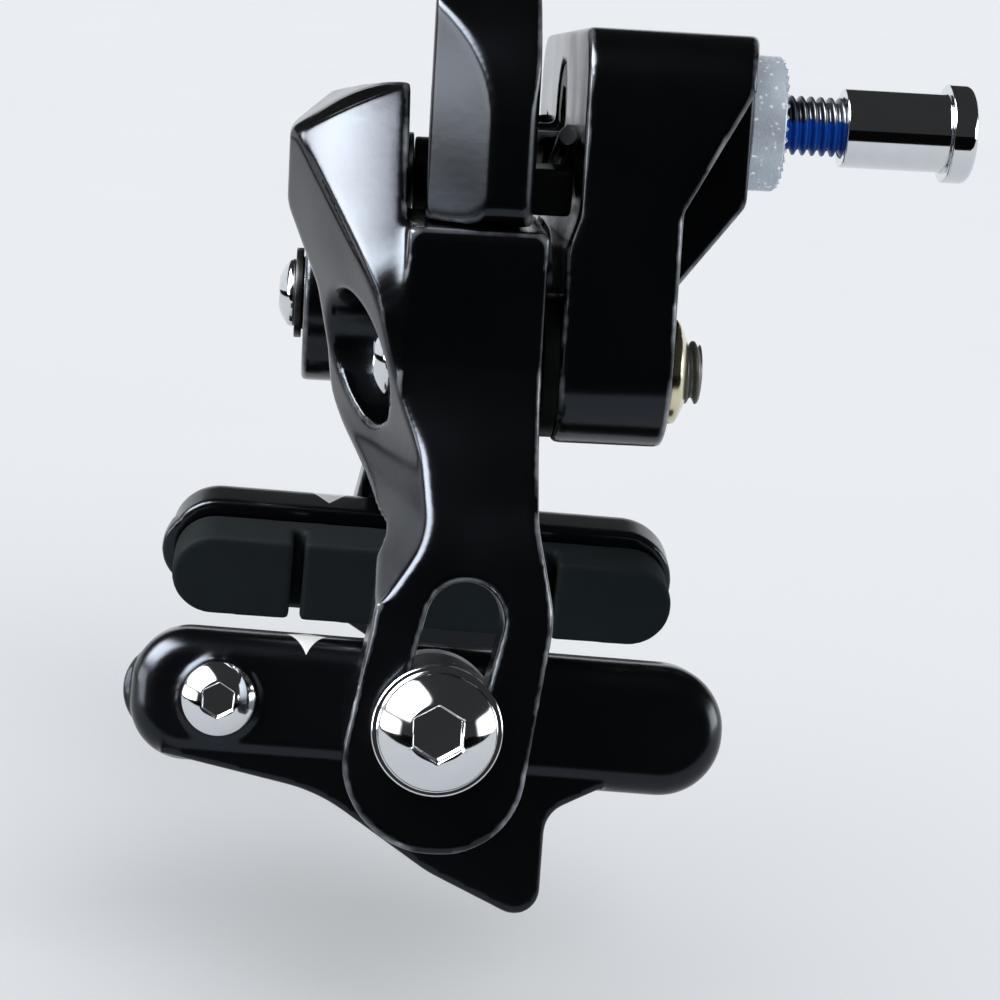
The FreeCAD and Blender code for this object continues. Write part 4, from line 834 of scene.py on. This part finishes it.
@dataclass
class Arms:
    """Both forged arms, with the roller between them and the spring that opens them."""

    horn_swell: Swell = Swell((0.692, -0.401, 0.601), middle_y_mm=-42.5, half_mm=5.0, rise_mm=0.5)

    def build(self) -> None:
        """Make and dress the pieces."""
        self.horn_swell.shape(dress_node("right_arm", FORGED, ENAMEL))
        dress_node("left_arm", FORGED_THIN, ENAMEL)
        dress_node("return_spring", STAMPED, WIRE)
        dress_node("spring_slider", MOULDED, BLACK_NYLON)
        dress_node("sync_pin", STAMPED, BLACK_STEEL)
        dress_node("sync_roller", TURNED, BLACK_NYLON)
        dress_node("roller_clip", STAMPED, WIRE)


@dataclass
class CableEnd:
    """The quick release with its cable clamp, and the barrel adjuster."""

    lever: Melt = FORGED

    def build(self) -> None:
        """Make and dress the pieces."""
        dress_node("quick_release_lever", self.lever, ENAMEL)
        dress_node("anchor_bolt", TURNED, CHROME)
        dress_node("anchor_plate", STAMPED, PLATED)
        dress_node("barrel_adjuster", STAMPED, ANODISED)
        dress_node("adjuster_ring", MOULDED, SEAL)


@dataclass
class Shoe:
    """One brake shoe: rubber, holder, screw, and the bolt with its washers."""

    side: Side
    enamel: MarkedEnamel

    def build(self) -> None:
        """Make and dress the pieces."""
        dress_node(self.side.node("pad"), MOULDED, RUBBER)
        dress_node(self.side.node("pad_holder"), MOULDED, self.enamel)
        dress_node(self.side.node("pad_screw"), STAMPED, CHROME)
        dress_node(self.side.node("pad_bolt"), TURNED, CHROME)
        dress_node(self.side.node("dished_washer"), TURNED, CHROME)
        for washer in ("concave_washer", "convex_washer"):
            dress_node(self.side.node(washer), STAMPED, PLATED)


# Studio

@dataclass(frozen=True)
class Lamp:
    """A far, broad light for matte surfaces: where it stands, how wide it looks and how much it gives."""

    name: str
    towards: tuple[float, float, float]
    width_deg: float
    strength: float
    colour: str = "ffffff"

    def build(self) -> None:
        """Hang the lamp."""
        light = bpy.data.lights.new(self.name, "SUN")
        light.energy = self.strength
        light.angle = math.radians(self.width_deg)
        light.color = linear(self.colour)[:3]
        lamp = bpy.data.objects.new(self.name, light)
        lamp.rotation_mode = "QUATERNION"
        lamp.rotation_quaternion = Vector(self.towards).to_track_quat("Z", "Y")
        lamp.visible_glossy = False
        bpy.context.scene.collection.objects.link(lamp)


def only_for_gloss(made: bpy.types.Object) -> None:
    """Put an object on the stage where only reflections see it."""
    for seen_by in ("camera", "diffuse", "transmission", "volume_scatter", "shadow"):
        setattr(made, f"visible_{seen_by}", False)


@dataclass(frozen=True)
class Panel:
    """A lit panel that only reflections see, brightest in its middle and soft at its edges."""

    name: str
    towards: tuple[float, float, float]
    away_m: float
    width_m: float
    height_m: float
    strength: float
    edge: float = 0.5
    colour: str = "ffffff"

    def build(self) -> None:
        """Hang the panel so that it faces the middle of the stage."""
        half_width, half_height = self.width_m / 2, self.height_m / 2
        mesh = bpy.data.meshes.new(self.name)
        mesh.from_pydata([(-half_width, -half_height, 0), (half_width, -half_height, 0),
                          (half_width, half_height, 0), (-half_width, half_height, 0)], [], [(0, 1, 2, 3)])
        mesh.materials.append(self.material())
        made = plain_object(self.name, mesh)
        back = Vector(self.towards).normalized()
        made.matrix_world = Matrix.Translation(back * self.away_m) @ back.to_track_quat("Z", "Y").to_matrix().to_4x4()
        only_for_gloss(made)

    def material(self) -> bpy.types.Material:
        """Light that falls off towards the panel's edges."""
        made = bpy.data.materials.new(self.name)
        made.use_nodes = True
        tree = made.node_tree
        tree.nodes.clear()
        axes = add_node(tree, "ShaderNodeSeparateXYZ", {0: add_node(tree, "ShaderNodeTexCoord").outputs["Object"]})

        def share(axis: int, half: float) -> Socket:
            """How lit the panel is along one axis, from 0 at its edge to 1 inside."""
            reach = add_node(tree, "ShaderNodeMath", {0: axes.outputs[axis]}, operation="ABSOLUTE").outputs[0]
            return add_node(tree, "ShaderNodeMapRange", {
                "Value": reach, "From Min": half, "From Max": half * (1 - self.edge)},
                interpolation_type="SMOOTHSTEP").outputs[0]

        lit = add_node(tree, "ShaderNodeMath", {
            0: share(0, self.width_m / 2), 1: share(1, self.height_m / 2)}, operation="MULTIPLY").outputs[0]
        level = add_node(tree, "ShaderNodeMath", {0: lit, 1: self.strength}, operation="MULTIPLY").outputs[0]
        glow = add_node(tree, "ShaderNodeEmission", {"Color": linear(self.colour), "Strength": level})
        add_node(tree, "ShaderNodeOutputMaterial", {"Surface": glow.outputs[0]})
        return made


@dataclass
class Studio:
    """The pale floor, the soft lamps and panels, the dark cards and the camera."""

    floor_colour: str = "e9eaed"
    floor_drift: str = "e5e7ea"
    horizon_colour: str = "eaedf2"
    floor_half_m: float = 8.0
    floor_gap_mm: float = 16.0
    card_from_mm: float = 140.0
    front_card_until_mm: float = -450.0
    card_rise_mm: float = 1.0
    ambient_colour: str = "f8fafc"
    ambient: float = 0.86
    ambient_seen_by_gloss: float = 0.04
    backdrop_x_mm: float = -700.0
    backdrop_top_mm: float = 300.0
    lamps: tuple[Lamp, ...] = (Lamp("key", (0.80, 0.30, 0.52), 40.0, 1.35),)
    panels: tuple[Panel, ...] = (
        Panel("front_softbox", (0.30, -0.70, 0.645), 1.0, 1.5, 1.0, 33.0, edge=0.7),
        Panel("left_panel", (0.22, -0.97, 0.02), 1.2, 1.3, 0.7, 9.0, edge=0.6),
        Panel("right_panel", (0.12, 0.98, 0.10), 1.2, 1.3, 0.6, 9.0, edge=0.6),
    )
    camera_mm: tuple[float, float, float] = (271.7, -45.5, 17.6)
    looks: tuple[float, float, float] = (-0.9756, 0.0711, -0.2077)
    upward: tuple[float, float, float] = (-0.2111, -0.0452, 0.9764)
    field_deg: float = 21.14
    sensor_mm: float = 36.0
    nearest_m: float = 0.01

    def build(self) -> None:
        """Set the stage."""
        self.build_floor()
        self.build_cards()
        self.build_world()
        for light in self.lamps + self.panels:
            light.build()
        self.build_camera()
        bpy.context.scene.view_settings.view_transform = "Standard"

    def sheet(self, name: str, near: tuple[float, float], far: tuple[float, float], paper: Finish,
              only_in_gloss: bool = True, until_y: float | None = None) -> None:
        """Put up a sheet as wide as the floor between two lines, each given by its x and z.

        Args:
            name: The sheet's name.
            near: The line where it starts.
            far: The line where it ends.
            paper: Its finish.
            only_in_gloss: Whether only reflections see it.
            until_y: Where it ends on its way to the rear, if not with the floor.
        """
        half = self.floor_half_m
        end = half if until_y is None else until_y
        corners = [(near[0], -half, near[1]), (near[0], end, near[1]), (far[0], end, far[1]), (far[0], -half, far[1])]
        mesh = bpy.data.meshes.new(name)
        mesh.from_pydata(corners, [], [(0, 1, 2, 3)])
        mesh.materials.append(paper.material())
        made = plain_object(name, mesh)
        if only_in_gloss:
            only_for_gloss(made)

    def floor_z(self) -> float:
        """The floor's height, under the lowest piece."""
        return CAD_BOX[0].z - self.floor_gap_mm * MM

    def build_floor(self) -> None:
        """Lay the pale floor."""
        half, z = self.floor_half_m, self.floor_z()
        self.sheet("floor", (half, z), (-half, z), self.paper(), only_in_gloss=False)

    def build_cards(self) -> None:
        """Lay black cards beyond the part's right and front and put up a pale sweep, which only reflections see."""
        black = Finish("black_card", "050505", "0a0a0a", 0.9, drift_mm=50.0, shine=0.0)
        z = self.floor_z() + self.card_rise_mm * MM
        half = self.floor_half_m
        self.sheet("right_card", (half, z), (self.card_from_mm * MM, z), black)
        self.sheet("front_card", (half, z), (-half, z), black, until_y=self.front_card_until_mm * MM)
        back = self.backdrop_x_mm * MM
        self.sheet("sweep", (back, z), (back, self.backdrop_top_mm * MM), self.paper())

    def paper(self) -> Finish:
        """Pale paper: matte, a little cool and uneven."""
        return Finish("pale_paper", self.floor_colour, self.floor_drift, 0.9, drift_mm=180.0, shine=0.0)

    def build_world(self) -> None:
        """Light the stage evenly and weakly, with a darker room in reflections."""
        world = bpy.data.worlds.new("room")
        bpy.context.scene.world = world
        world.use_nodes = True
        tree = world.node_tree
        tree.nodes.clear()
        rays = add_node(tree, "ShaderNodeLightPath")
        level = add_node(tree, "ShaderNodeMapRange", {
            "Value": rays.outputs["Is Glossy Ray"], "To Min": self.ambient, "To Max": self.ambient_seen_by_gloss})
        room = add_node(tree, "ShaderNodeBackground", {0: linear(self.ambient_colour), 1: level.outputs[0]})
        backdrop = add_node(tree, "ShaderNodeBackground", {0: linear(self.horizon_colour), 1: 1.0})
        mixed = add_node(tree, "ShaderNodeMixShader", {
            0: rays.outputs["Is Camera Ray"], 1: room.outputs[0], 2: backdrop.outputs[0]})
        add_node(tree, "ShaderNodeOutputWorld", {0: mixed.outputs[0]})

    def build_camera(self) -> None:
        """Stand the camera where the picture was taken."""
        data = bpy.data.cameras.new("camera")
        data.sensor_width = data.sensor_height = self.sensor_mm
        data.angle = math.radians(self.field_deg)
        data.clip_start = self.nearest_m
        camera = bpy.data.objects.new("camera", data)
        back = -Vector(self.looks).normalized()
        right = Vector(self.upward).cross(back).normalized()
        up = back.cross(right)
        turn = Matrix((right, up, back)).transposed().to_4x4()
        camera.matrix_world = Matrix.Translation(Vector(self.camera_mm) * MM) @ turn
        bpy.context.scene.collection.objects.link(camera)
        bpy.context.scene.camera = camera


def main() -> None:
    """Build every sub-assembly, then the studio."""
    logging.basicConfig(level=logging.INFO, format="%(message)s")
    threads = thread_tree()
    Mounting().build(threads)
    for side in Side:
        Pivot(side).build(threads)
    Arms().build()
    CableEnd().build()
    Shoe(Side.RIGHT, RIGHT_HOLDER).build()
    Shoe(Side.LEFT, LEFT_HOLDER).build()
    Studio().build()


if __name__ == "__main__":
    main()
